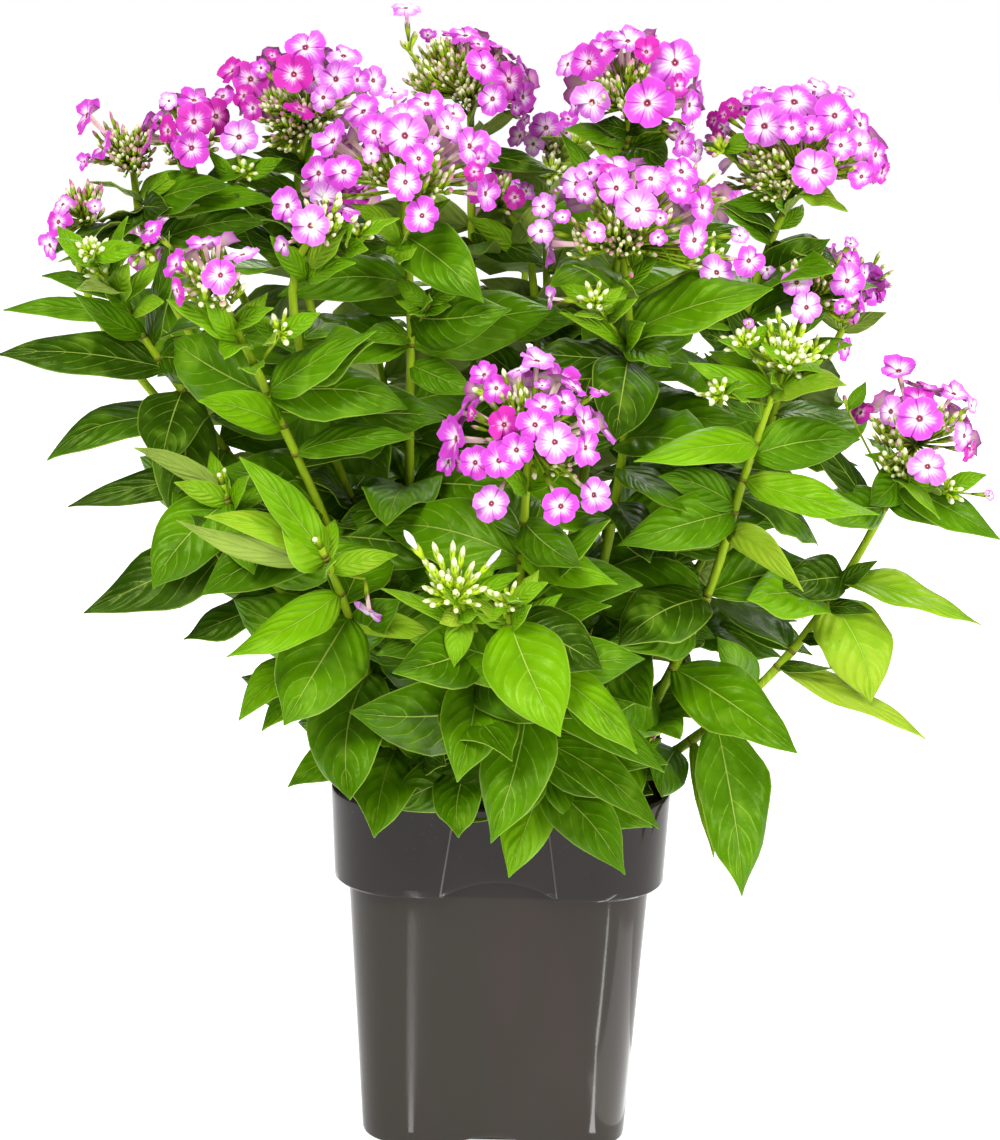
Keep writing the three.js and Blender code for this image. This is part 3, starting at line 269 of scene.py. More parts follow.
# The florets on the side of each head that is seen best, from the head's middle: how far right,
# back and up, the face's radius, how far it looks right and up from the viewer, and its tone.
BLOOMS: dict[str, tuple[Bloom, ...]] = {
    "front": ((-16, -16, 29, 6.4, -0.1, 0.15, 0.7), (-22, 8, 31, 6.6, -0.4, 0.5, 0.5),
        (-27, -17, 17, 4.1, -0.85, 0, 0.8), (-12, -32, 15, 7.7, -0.1, 0, 0.9),
        (2, -36, 16, 8.1, 0, 0, 0.55), (-6, -36, 4, 8.1, 0.1, -0.3, 0.5),
        (-14, -36, -1, 8.2, -0.1, -0.2, 0.6), (-25, -26, -4, 7.3, -0.3, 0, 0.65),
        (-38, -1, -9, 7.0, -0.8, 0, 0.6), (11, -39, 9, 9.5, 0, 0, 0.35),
        (6, -26, 23, 8.2, 0, 0.75, 0.4), (15, -19, 24, 8.2, 0.2, 0.75, 0.4),
        (25, -20, 15, 8.3, 0.85, 0.2, 0.4), (26, -26, 4, 8.2, 0.8, -0.1, 0.4),
        (3, 6, 39, 8.4, 0.15, 0.93, 0.2), (-6, 0, 35, 5.6, -0.3, 0.9, 0.2),
        (5, -17, 31, 3.7, 0, 0.8, 0.3), (20, -7, 29, 6.9, 0.5, 0.8, 0.3),
        (32, 6, 25, 5.6, 0.4, 0.9, 0.35), (-17, -22, -24, 8.8, -0.1, -0.1, 0.4),
        (15, -24, -24, 8.3, 0, 0, 0.4), (31, -7, -22, 8.4, 0.5, 0.1, 0.35)),
    "centre_left": ((11, -1, 42, 8.9, 0.1, 0.6, 0.3), (-5, 3, 47, 6.9, 0, 0.9, 0.3),
        (-20, -5, 38, 9.4, -0.5, 0.6, 0.35), (1, -22, 37, 9.2, 0, 0.5, 0.4),
        (-13, -32, 30, 8.7, -0.2, 0.1, 0.35), (2, -38, 29, 10.5, 0, 0.1, 0.3),
        (22, -19, 32, 7.8, 0.5, 0.4, 0.3), (33, -16, 23, 9.8, 0.7, 0.1, 0.35),
        (-34, -13, 24, 9.8, -0.6, 0.4, 0.4), (-27, -34, 11, 8.7, -0.2, 0, 0.5),
        (-41, -12, 8, 8.4, -0.6, 0.1, 0.5), (-37, -23, -3, 7.3, -0.2, -0.3, 0.2),
        (9, -45, 19, 7.2, 0, 0, 0.5), (3, -48, 8, 8.1, 0, -0.1, 0.3),
        (11, -44, -8, 8.1, 0.1, -0.15, 0.35), (41, -13, 0, 8.3, 0.85, 0, 0.3),
        (24, 5, 37, 5.9, 0.3, 0.5, 0.3), (37, -13, 17, 6.9, 0.6, -0.1, 0.6),
        (-14, -36, 20, 4.3, -0.2, -0.2, 0.05), (-9, -32, 25, 4.8, 0, -0.2, 0.8),
        (15, -34, 25, 3.8, 0.3, 0, 0.2), (35, -20, 11, 4.9, 0.3, -0.2, 0.85)),
    "left_centre": ((-15, -2, 11, 8.2, -0.6, 0.1, 0.45), (-2, -22, 4, 9.4, 0, 0, 0.2),
        (-16, -8, -7, 5.3, -0.7, -0.3, 0.2)),
    "upper_left": ((-5, -32, 22, 9.7, 0, 0, 0.75), (-1, -9, 35, 10.4, 0.1, 0.5, 0.4),
        (18, -4, 31, 9.4, 0.1, 0.75, 0.4), (-29, -9, 18, 9.4, -0.1, 0.1, 0.8),
        (-39, -3, 22, 7.3, -0.7, 0.4, 0.8), (-44, -4, 9, 7.3, -0.4, 0.6, 0.7),
        (-18, -8, 30, 4.2, 0.1, 0.5, 0.8), (-23, -14, 24, 4.7, 0.2, 0.2, 0.6),
        (4, -29, 20, 7.2, -0.2, 0.1, 0.3), (16, -27, 20, 9.7, 0.4, 0.1, 0.3),
        (10, -36, 11, 6.6, 0, -0.3, 0.35), (26, -15, 19, 6.2, 0.6, 0.1, 0.5),
        (33, 3, 18, 7.3, 0.3, 0.1, 0.3), (-1, -39, 6, 8.6, 0.3, 0.8, 0.9),
        (-32, -16, 10, 6.8, -0.6, 0.2, 0.85), (-27, -20, 4, 6.2, -0.5, -0.1, 0.7)),
    "left_top": ((-24, -2, 23, 10.1, -0.85, 0.4, 0.7), (-25, -4, -1, 5.3, -0.8, 0.2, 0.5)),
    "left_side": ((-11, -9, 10, 6.3, -0.5, 0.5, 0.3), (-13, -12, 1, 7.3, -0.6, 0, 0.6),
        (-19, -5, -12, 7.4, -0.8, -0.1, 0.5), (7, -17, 10, 3.6, 0, 0.3, 0.4)),
    "left_high": ((7, -24, 13, 9.8, 0, 0, 0.8), (6, -27, 0, 8.8, 0, -0.1, 0.75),
        (17, -12, 15, 8.8, 0.3, 0, 0.85), (30, -26, 6, 9.0, 0.1, 0, 0.3),
        (5, -6, 23, 7.8, 0, 0.8, 0.6), (-7, -22, 8, 7.2, -0.7, 0, 0.95),
        (-8, -6, 22, 4.7, -0.2, 0.3, 0), (0, -24, 0, 5.7, -0.5, -0.3, 0.7)),
    "left_front": ((5, -25, 9, 7.9, 0, 0, 0.4), (13, -6, 17, 8.0, -0.1, 0.9, 0.15),
        (-5, -6, 21, 7.5, -0.3, 0.85, 0.3), (-18, -8, 11, 7.1, -0.85, 0.2, 0.6),
        (-17, -15, 0, 7.0, -0.85, -0.2, 0.7), (-30, -1, 26, 5.7, -0.5, 0.6, 0.5)),
    "middle_top": ((7, -28, 18, 9.4, 0.3, 0.3, 0.65), (12, -36, 2, 7.8, 0.1, 0, 0.4),
        (21, -24, 11, 10.5, 0.7, 0.2, 0.7), (-3, -7, 33, 8.5, 0, 0.9, 0.6),
        (4, -18, 29, 6.3, 0.3, 0.7, 0.7), (-23, -1, 32, 4.3, 0, 0.5, 0.6),
        (24, -24, -3, 4.2, 0.7, 0, 0.5), (28, -17, 2, 7.9, 0.85, 0, 0.7),
        (29, -13, -10, 5.3, 0.9, -0.1, 0.4)),
    "upper_right": ((-16, -11, 29, 9.2, -0.1, 0.6, 0.55), (-22, -17, 23, 9.2, -0.5, 0.1, 0.7),
        (-32, 2, 21, 6.7, -0.7, 0.3, 0.25), (-20, -28, 4, 9.6, -0.4, -0.1, 0.15),
        (-28, -17, 2, 6.1, -0.8, 0, 0.6), (-2, -8, 34, 8.7, 0, 0.8, 0.3),
        (7, -19, 29, 7.1, 0.2, 0.4, 0.85), (22, -16, 24, 12.3, 0.3, 0.2, 0.4),
        (7, -41, 5, 12.2, 0, 0, 0.6), (30, -18, 3, 8.7, 0.8, -0.1, 0.3),
        (23, -23, 13, 6.1, 0.6, 0, 0.7), (27, -15, -16, 7.2, 0.6, -0.3, 0.4),
        (32, -12, -7, 4.6, 0.8, -0.4, 0.2), (-11, -5, 32, 7.2, 0.1, 0.7, 0.5),
        (24, -10, -11, 5.0, 0.3, -0.2, 0.4), (35, -2, -21, 5.8, 0.6, -0.1, 0.25)),
    "middle_back": ((-2, -11, 13, 8.6, -0.1, 0.4, 0.4), (10, 1, 17, 5.4, 0.3, 0.6, 0.5),
        (-9, -13, 4, 6.5, -0.6, 0, 0.3), (-16, 1, 7, 6.5, -0.7, 0.1, 0.3),
        (9, -10, 10, 4.3, 0.2, 0, 0)),
    "middle_small": ((8, -13, 7, 5.8, 0, 0, 0.8), (14, 1, 9, 4.8, 0.6, 0.2, 0.4),
        (1, 2, 17, 4.8, 0, 0.4, 0.2), (-2, 2, 21, 3.7, -0.3, 0.6, 0.6)),
    "centre_right": ((-24, -12, 31, 7.3, -0.5, 0.3, 0.15), (-17, -10, 36, 6.8, -0.2, 0.5, 0.25),
        (-20, -26, 27, 5.8, -0.3, -0.2, 0.3), (-7, -16, 37, 5.8, 0.3, 0.5, 0.85),
        (-5, -30, 31, 8.6, 0, 0.3, 0.45), (5, -41, 22, 9.5, 0, 0, 0.3),
        (12, -18, 35, 8.7, 0.2, 0.5, 0.2), (28, 1, 37, 8.9, 0.4, 0.4, 0.45),
        (26, -13, 29, 6.8, 0.3, 0.1, 0.5), (39, -1, 20, 8.9, 0.75, 0.1, 0.35),
        (34, -23, 6, 8.7, 0.5, -0.2, 0.4), (16, -38, 18, 3.8, 0, 0, 0.3),
        (15, -41, 9, 4.3, 0, -0.5, 0.25), (46, -9, -11, 8.3, 0.1, -0.1, 0.25),
        (57, -4, 7, 4.9, 0.3, 0.6, 0.2), (62, -7, -5, 8.4, 0.6, 0, 0.4),
        (-39, 2, 18, 5.9, -0.3, 0.1, 0.15), (-30, -25, 16, 3.9, -0.2, 0.3, 0.3),
        (-40, -6, 7, 6.4, -0.3, 0, 0.1), (-15, -41, 11, 4.8, -0.2, 0.2, 0.35)),
    "right_top": ((-38, 5, 33, 6.3, -0.4, 0.4, 0.95), (-30, 5, 33, 4.7, -0.2, 0.4, 0.8),
        (-46, 5, 26, 5.2, -0.6, 0.2, 0.9), (-46, 5, 14, 5.2, -0.6, -0.3, 0.4),
        (-42, 3, 22, 4.7, -0.3, 0, 0.05), (-25, 5, 38, 6.8, -0.2, 0.8, 0.3),
        (-18, 4, 43, 6.8, 0, 0.9, 0.3), (-20, -7, 35, 9.4, -0.1, 0.6, 0.5),
        (-23, -26, 26, 10.8, -0.1, 0, 0.25), (-7, -13, 38, 11.4, 0, 0.4, 0.4),
        (5, 2, 45, 7.3, 0.2, 0.85, 0.1), (-10, -36, 26, 7.1, 0, 0, 0.45),
        (0, -35, 26, 7.1, 0.1, 0, 0.35), (13, -23, 32, 10.3, 0.3, 0.2, 0.45),
        (28, -10, 27, 8.3, 0.7, 0.3, 0.4), (15, -36, 18, 7.7, 0.3, -0.1, 0.35),
        (26, -25, 18, 7.7, 0.5, 0, 0.3), (36, -15, 12, 8.3, 0.8, 0, 0.5),
        (1, -47, 6, 11.7, 0, -0.1, 0.25), (27, -31, 2, 7.2, 0.4, -0.4, 0.45),
        (41, -6, 2, 6.3, 0.8, -0.3, 0.7), (20, 0, 42, 4.7, 0.3, 0.8, 0.1),
        (-42, -8, 30, 4.6, -0.7, 0.1, 0.95), (-45, -6, 19, 4.4, -0.8, -0.4, 0.9)),
    "right_middle": ((-19, 5, 24, 5.2, -0.3, 0.2, 0.1), (-23, -2, 15, 4.7, -0.6, 0, 0.15),
        (-10, -25, 12, 8.2, -0.1, 0.4, 0.15), (-5, -32, 0, 8.2, 0.1, -0.1, 0.2),
        (-1, -17, 23, 3.6, 0, 0.4, 0.9), (20, 1, 29, 3.7, 0.3, 0.6, 0.2),
        (20, 0, 20, 6.3, 0.5, 0.3, 0.65), (17, -18, 12, 8.8, 0.5, 0, 0.3),
        (28, 0, 14, 4.7, 0.8, 0, 0.3), (20, -18, 4, 4.1, 0.5, -0.4, 0.05),
        (14, -25, 0, 4.1, 0.3, -0.2, 0.6)),
    "far_right": ((-10, 8, 37, 9.9, -0.1, 0.75, 0.55), (-17, -18, 20, 7.7, -0.3, 0, 0.2),
        (-4, -30, 19, 11.1, 0, 0, 0.45), (1, -33, -5, 9.6, 0.1, -0.3, 0.3),
        (18, 1, 27, 7.8, 0.3, 0.8, 0.2), (21, -21, 9, 7.2, 0.7, 0, 0.15),
        (27, -1, 21, 4.7, 0.8, 0.2, 0.2), (25, -18, 1, 5.7, 0.9, -0.2, 0.75),
        (-29, 5, 15, 6.2, -0.5, 0.2, 0.95)),
}

# Leaves between those of the solids, on the side that is seen best.
FINER_LEAVES: dict[str, tuple[Leaf, ...]] = {
    "centre_left": leaves((0.76, -17, -68, 403, 18), (0.93, -55, -77, 469, 16, B, 0.1),
        (0.8, -73, -71, 431, 13), (0.52, -82, -90, 343, 28, D, 0.06),
        (0.5, -13, -89, 345, 27, M, 0.06), (0.42, -85, -112, 308, 30, D, 0.06)),
    "upper_left": leaves((0.62, -90, -46, 357, 28, D), (0.5, -34, -63, 338, 26, D, 0.06),
        (0.86, -65, -6, 483, 18, D), (0.8, -139, -2, 476, 19, D), (0.9, -149, 5, 503, 16),
        (0.84, -127, -12, 482, 20, M, 0.1), (0.93, -131, 0, 504, 19, M, 0.1),
        (0.87, -140, -8, 493, 25, D, 0.06), (0.95, -133, 8, 513, 18, D, 0.1),
        (0.9, -98, -8, 487, 17, D), (0.86, -117, -14, 497, 15, D, 0.1)),
    "left_centre": leaves((0.93, -76, -99, 471, 11, B, 0.1), (0.55, -99, -90, 368, 23, D, 0.06),
        (0.5, -54, -102, 356, 27, D, 0.06)),
    "centre_right": leaves((0.93, 30, -81, 471, 10, B, 0.12), (0.87, 64, -80, 442, 14, B, 0.2, 20),
        (0.86, 23, -85, 447, 9, B, 0.1), (0.84, 5, -69, 425, 26, D), (0.86, 78, -75, 421, 19),
        (0.6, 70, -104, 330, 27, D, 0.06), (0.66, 88, -97, 354, 23, M, 0.06)),
    "back_right": leaves((0.62, 68, 6, 387, 28, D)),
    "right_bud": leaves((0.9, 94, -79, 428, 16, D, 0.15), (0.74, 74, -88, 369, 20, M, 0.1),
        (0.5, 51, -111, 291, 29, M, 0.06), (0.28, 88, -98, 240, 30, M, 0.06),
        (0.1, 75, -82, 205, 24, D, 0.06), (0.76, 161, -40, 325, 28, D, 0.12)),
    "left_front": leaves((0.92, -133, -135, 431, 16, B, 0.1), (0.93, -161, -125, 454, 14, B, 0.1),
        (0.88, -119, -135, 423, 13, B, 0.1), (0.62, -115, -113, 357, 23, D, 0.06),
        (0.55, -122, -131, 332, 23, D, 0.06)),
    "left_high": leaves((0.88, -114, 2, 471, 14, D), (0.55, -111, -39, 331, 26, D, 0.06),
        (0.7, -159, -8, 443, 22, D)),
    "left_top": leaves((0.9, -231, -8, 455, 15), (0.86, -173, 11, 432, 15),
        (0.93, -229, -34, 465, 25, D, 0.04), (0.7, -157, -34, 398, 24, D),
        (0.75, -138, -17, 416, 21, D), (0.97, -165, 4, 503, 14, B, 0.1),
        (0.93, -213, -2, 477, 18, D, 0.1), (0.95, -174, -10, 484, 19, D, 0.2),
        (0.94, -120, -15, 489, 20, M, 0.1), (0.9, -123, -12, 480, 22, D, 0.06)),
    "left_side": leaves((0.93, -185, -5, 471, 21)),
    "far_left": leaves((0.88, -167, -63, 479, 18, D), (0.97, -187, -69, 464, 14, Y, 0.2, 40),
        (0.97, -208, -95, 452, 17, M, -0.2, 150), (0.78, -156, -85, 330, 33, D, 0.06)),
    "middle_top": leaves((0.45, -33, -66, 302, 28, M, 0.06), (0.83, 17, 25, 457, 21, D),
        (0.8, -53, 19, 462, 21, D), (0.9, 24, 46, 505, 9, D, 0.06)),
    "front": leaves((0.66, -35, -168, 343, 24, M, 0.06), (0.7, 47, -167, 364, 22, M, 0.06),
        (0.6, 43, -182, 330, 23, M, 0.06), (0.3, -16, -138, 272, 25, D, 0.06)),
    "upper_right": leaves((0.62, 66, -52, 358, 27, D, 0.06), (0.7, 31, -41, 360, 23, D, 0.06),
        (0.88, 22, -5, 527, 13), (0.93, 80, -2, 528, 11), (0.9, 77, -12, 515, 18, D),
        (0.985, 40, -6, 531, 12, D, 0.1), (0.985, 76, -4, 533, 13, D, 0.1),
        (0.82, 89, -20, 470, 21, D)),
    "right_middle": leaves((0.7, 131, -14, 330, 23), (0.86, 106, -2, 451, 19, D),
        (0.8, 183, 6, 381, 22), (0.88, 175, 5, 423, 15, M, 0.1)),
    "right_top": leaves((0.6, 144, -27, 360, 21, D), (0.75, 96, -14, 429, 21, D),
        (0.86, 160, -11, 476, 22, D, 0.1), (0.93, 105, 2, 491, 15, D)),
    "far_right": leaves((0.86, 146, -44, 389, 21, D), (0.9, 243, -37, 338, 21, M, 0.1),
        (0.97, 184, -38, 345, 21, M, 0.1), (0.45, 109, -65, 280, 21, M, 0.06),
        (0.71, 188, -45, 318, 10, D, 0.1), (0.67, 187, -50, 292, 9, D, 0.1),
        (0.6, 171, -52, 277, 8, D, 0.1), (0.53, 167, -55, 263, 8, D, 0.15),
        (0.74, 139, -60, 308, 25, D)),
    "middle_small": leaves((0.8, 41, 7, 425, 22, D), (0.7, -26, -6, 425, 22, D)),
    "middle_back": leaves((0.83, 46, 32, 463, 20, D), (0.75, -17, 24, 447, 21, D)),
    "left_low": leaves((0.8, -153, -103, 347, 21, D), (0.35, -86, -91, 241, 26, D, 0.06)),
    "low_left_tip": leaves((0.7, -49, -165, 323, 19, M, 0.06), (0.78, -30, -159, 303, 13, Y, 0.06),
        (0.5, -49, -154, 272, 25, D, 0.06), (0.3, -30, -124, 232, 26, D, 0.06)),
    "front_bud": leaves((0.96, -12, -180, 322, 14, B, 0.1), (0.95, -30, -181, 317, 10, Y, 0.1),
        (0.93, -23, -184, 297, 13, B, 0.1), (0.97, 6, -179, 341, 11, B, 0.1),
        (0.9, -57, -170, 332, 9, B)),
    "low_front": leaves((0.97, -16, -181, 329, 8, Y, 0.1), (0.6, 27, -154, 264, 25, M, 0.06)),
}

# Side shoots with their small leaves, buds and single florets.
SPRIGS: dict[str, tuple[Sprig, ...]] = {
    "left_front": (Sprig(0.88, (-108, -122, 439), 9, 3, 0.7, 0),),
    "centre_right":
        (Sprig(0.86, (40, -84, 451), 10, 6, 0.72, 0.05, ((-22, -4, 3, 5.8, -0.95, 0.1, 0.2),)),
        Sprig(0.93, (97, -58, 471), 7, 2, 0.6, 0)),
    "right_bud": (Sprig(0.93, (102, -88, 409), 11, 3, 0.66, 0),
        Sprig(0.96, (113, -82, 432), 13, 2, 0.66, 0, ((1, -2, 12, 2.9, 0.1, 0.6, 0.25),)),
        Sprig(0.12, (75, -72, 229), 2, 3, 0.5, 0.9), Sprig(0.99, (136, -84, 423), 12, 2, 0.66, 0)),
    "far_left": (Sprig(0.985, (-205, -62, 466), 16, 6, 0.72, 0.1),),
    "centre_left": (Sprig(0.8, (-40, -66, 447), 0, 8, 0.5, 0),),
    "left_centre": (Sprig(0.93, (-74, -84, 481), 6, 6, 0.72, 0),),
    "left_top":
        (Sprig(0.92, (-189, 2, 461), 9, 3, 0.4, 0.1, ((4, -6, 10, 6.7, -0.5, 0.6, 0.5),)),),
    "left_high": (Sprig(0.93, (-137, 2, 501), 11, 2, 0.6, 0),),
    "middle_back": (Sprig(0.95, (20, 62, 498), 14, 2, 0.45, 0),
        Sprig(0.96, (33, 66, 513), 7, 4, 0.3, 0.2)),
    "far_right": (Sprig(0.93, (223, -34, 352), 9, 3, 0.6, 0.1, ((22, -2, -1, 3.1, 0.7, 0, 0.2),)),
        Sprig(0.92, (172, -20, 392), 1, 1, 0.5, 0.8)),
    "middle_top":
        (Sprig(0.99, (-56, 42, 562), 2, 0, 0.5, 0.2, ((-2, -2, 23, 7.4, -0.1, 0.9, 0.12),)),),
    "low_left_tip":
        (Sprig(0.93, (-66, -146, 328), 0, 0, 0.5, 0.9, ((2, -8, -14, 7.4, -0.35, -0.9, 0.15),)),),
    "right_middle":
        (Sprig(0.9, (156, -4, 417), 7, 2, 0.6, 0.1, ((16, -2, 3, 6.2, 0.85, 0, 0.35),)),),
    "front": (Sprig(0.95, (-9, -138, 414), 6, 0, 0.6, 0),),
    "low_front": (Sprig(0.985, (1, -182, 327), 9, 4, 0.8, 0),),
    "right_top": (Sprig(0.97, (105, 6, 518), 6, 2, 0.5, 0.6),),
}

# The tips of the buds in two heads, from the head's middle, and each bud's length and radius.
BUD_TIPS: dict[str, tuple[tuple[float, ...], ...]] = {
    "front_bud": ((-22, -6, 28, 16, 2.5), (-9, -2, 22, 13, 2), (0, 2, 22, 14, 2),
        (5, 0, 20, 13, 1.9), (22, -6, 20, 17, 1.9), (16, -12, 4, 12, 1.8), (-6, -8, 18, 12, 1.9),
        (-10, -10, 14, 11, 1.9), (-2, -14, 10, 11, 2.1), (-6, -14, 5, 9, 1.8), (2, -16, 3, 8, 1.9),
        (4, -14, 9, 11, 1.9), (9, -15, 3, 9, 1.8), (-5, -15, 12, 10, 1.9), (-14, -2, 15, 12, 1.8),
        (10, -4, 14, 14, 1.8), (1, -10, 17, 13, 2), (13, -8, 10, 12, 1.7)),
    "right_bud": ((-22, -8, 17, 9, 1.9), (-16, -6, 13, 9, 2), (-11, -4, 19, 9, 1.9),
        (-6, 2, 24, 9, 1.9), (-4, -8, 17, 9, 2.1), (2, -4, 19, 9, 1.9), (8, 2, 16, 8, 1.9),
        (-10, -14, 11, 8, 2.2), (-3, -16, 10, 8, 2.2), (4, -12, 11, 8, 2.1), (11, -6, 9, 9, 2),
        (-15, -12, 6, 8, 2.1), (-8, -18, 5, 7, 2.2), (0, -18, 3, 7, 2.2), (7, -14, 3, 7, 2.1),
        (15, -8, 2, 8, 2), (-11, -14, -2, 7, 1.9), (-3, -16, -4, 7, 2), (5, -12, -5, 7, 1.9),
        (13, -6, -5, 8, 1.8), (-18, -8, -1, 8, 1.8), (18, 0, 6, 8, 1.8), (-1, -12, 14, 8, 2.1),
        (-12, -2, 15, 9, 1.8), (-25, -4, 8, 8, 1.8), (-23, -6, 2, 8, 1.8)),
}

# The foliage's outline as the front shows it, on the upright plane through the middle of the pot:
# leaves by rule that would stick out past it are shorter or left out.
CROWN = ((-211, 455), (-186, 420), (-192, 399), (-187, 368), (-179, 331), (-167, 299),
         (-159, 272), (-143, 250), (-140, 222), (-114, 214), (-103, 184), (-84, 167), (-62, 156),
         (1, 152), (55, 154), (84, 160), (90, 183), (100, 219), (120, 251), (152, 257),
         (164, 279), (186, 307), (201, 334), (197, 356), (177, 379), (170, 408), (174, 439),
         (164, 475), (145, 500), (104, 496), (63, 508), (22, 527), (-23, 526), (-58, 490),
         (-94, 494), (-140, 498), (-175, 482), (-201, 469))

# Where the front sees through the foliage: across, up and radius on the same plane.
GAPS = ((114, 286, 14), (156, 301, 9), (79, 330, 6), (78, 211, 9), (-15, 430, 6), (-135, 461, 8))

# The bends that the solids' leaves take to keep clear: degrees aside, degrees up, share of length.
BENDS = (
    (0, 0, 1), (0, 7, 1), (0, -7, 1), (8, 0, 1), (-8, 0, 1), (9, 9, 1), (-9, 9, 1), (9, -9, 0.96),
    (-9, -9, 0.96), (0, 16, 0.94), (0, -16, 0.94), (18, 3, 0.92), (-18, 3, 0.92), (20, 16, 0.88),
    (-20, 16, 0.88), (20, -14, 0.86), (-20, -14, 0.86), (34, 5, 0.8), (-34, 5, 0.8),
)


# ---------- Small tools ----------


def chance(a: float, b: float, c: float) -> float:
    """A repeatable number from 0 to 1 for three whole numbers."""
    value = math.sin(a * 12.9898 + b * 78.233 + c * 37.719) * 43758.5453
    return value - math.floor(value)


def draws(count: int, a: float, b: float, c: float = 0) -> list[float]:
    """Repeatable numbers from 0 to 1, with the third whole number counting up from c."""
    return [chance(a, b, c + use) for use in range(count)]


def lerp(low: float, high: float, share: float) -> float:
    """The value at a share of the way from low to high."""
    return low + (high - low) * share


def rotated(vector: Vector, axis: Vector, angle: float) -> Vector:
    """A vector turned about an axis by an angle in radians."""
    return Matrix.Rotation(angle, 3, axis) @ vector


def facing(direction: Vector, spin: float = 0.0) -> Array:
    """The turn that stands a shape's +Z along a direction, after a spin about it."""
    turn = UP.rotation_difference(direction).to_matrix() @ Matrix.Rotation(spin, 3, "Z")
    return np.array(turn)


def way_at(heading: float, rise: float) -> Vector:
    """The direction at a heading and a rise above level, in radians."""
    return Vector((math.cos(heading) * math.cos(rise), math.sin(heading) * math.cos(rise),
                   math.sin(rise)))


def within_crown(spot: Vector) -> bool:
    """Whether a point, seen from the front, lies within the foliage's outline and off its gaps.

    Args:
        spot: The point.

    Returns:
        Whether it does.
    """
    share = FRONT.y / (FRONT.y - spot.y)
    x, z = FRONT.x + (spot.x - FRONT.x) * share, FRONT.z + (spot.z - FRONT.z) * share
    if any(math.hypot(x - gap_x, z - gap_z) < radius for gap_x, gap_z, radius in GAPS):
        return False
    inside = False
    for (x0, z0), (x1, z1) in zip(CROWN, CROWN[1:] + CROWN[:1]):
        if (z0 > z) != (z1 > z) and x < x0 + (z - z0) / (z1 - z0) * (x1 - x0):
            inside = not inside
    return inside


def cap_ways(count: int, spread: float, axis: Vector) -> list[Vector]:
    """Directions spread evenly over a cap.

    Args:
        count: How many directions.
        spread: The cap's half angle in degrees.
        axis: The cap's middle.

    Returns:
        The directions, from the middle outwards.
    """
    turn = UP.rotation_difference(axis)
    ways = []
    for i in range(count):
        polar = math.acos(1 - (i + 0.5) / count * (1 - math.cos(math.radians(spread))))
        way = Vector((math.sin(polar) * math.sin(i * GOLDEN),
                      -math.sin(polar) * math.cos(i * GOLDEN), math.cos(polar)))
        ways.append(turn @ way)
    return ways


def put(name: str, data: bpy.types.ID) -> bpy.types.Object:
    """A new object in the scene.

    Args:
        name: The object's name.
        data: Its mesh, light or camera.

    Returns:
        The object.
    """
    made = bpy.data.objects.new(name, data)
    bpy.context.scene.collection.objects.link(made)
    return made


# ---------- Materials ----------


def rgb(code: str) -> tuple[float, float, float, float]:
    """A screen colour such as "a0b0c0" as linear light."""
    parts = [int(code[i:i + 2], 16) / 255 for i in (0, 2, 4)]
    return (*[p / 12.92 if p <= 0.04045 else ((p + 0.055) / 1.055) ** 2.4 for p in parts], 1.0)


def math_operator(operation: str, swapped: bool = False
                  ) -> Callable[["Sock", "Sock | float"], "Sock"]:
    """Makes an operator of Sock.

    Args:
        operation: The Math node's operation.
        swapped: Whether the other value comes first, as in the reflected form.

    Returns:
        The method.
    """
    def method(self: "Sock", other: "Sock | float") -> "Sock":
        """A Math node on the two values."""
        return self.math(operation, other, self) if swapped else self.math(operation, self, other)

    return method


class Sock:
    """A socket of a material whose sums and products add Math nodes."""

    def __init__(self, net: "Net", socket: bpy.types.NodeSocket) -> None:
        """Wraps one output socket of a net."""
        self.net = net
        self.socket = socket

    def math(self, operation: str, *values: "Sock | float") -> "Sock":
        """A Math node of one operation on the values."""
        return self.net.node("ShaderNodeMath", {"operation": operation}, *values)

    __add__ = __radd__ = math_operator("ADD")
    __mul__ = __rmul__ = math_operator("MULTIPLY")
    __sub__ = math_operator("SUBTRACT")
    __rsub__ = math_operator("SUBTRACT", swapped=True)

    def size(self) -> "Sock":
        """Its value without its sign."""
        return self.math("ABSOLUTE", self)

    def root(self) -> "Sock":
        """Its square root."""
        return self.math("SQRT", self)

    def wave(self) -> "Sock":
        """Its cosine."""
        return self.math("COSINE", self)

    def rise(self, start: float, end: float) -> "Sock":
        """A smooth step from 0 at start to 1 at end; start may be the larger.

        Args:
            start: The value where it is 0.
            end: The value where it is 1.

        Returns:
            The step.
        """
        low, high, ends = (start, end, (0.0, 1.0)) if start < end else (end, start, (1.0, 0.0))
        return self.net.node("ShaderNodeMapRange", {"interpolation_type": "SMOOTHSTEP"},
                             self, low, high, *ends)


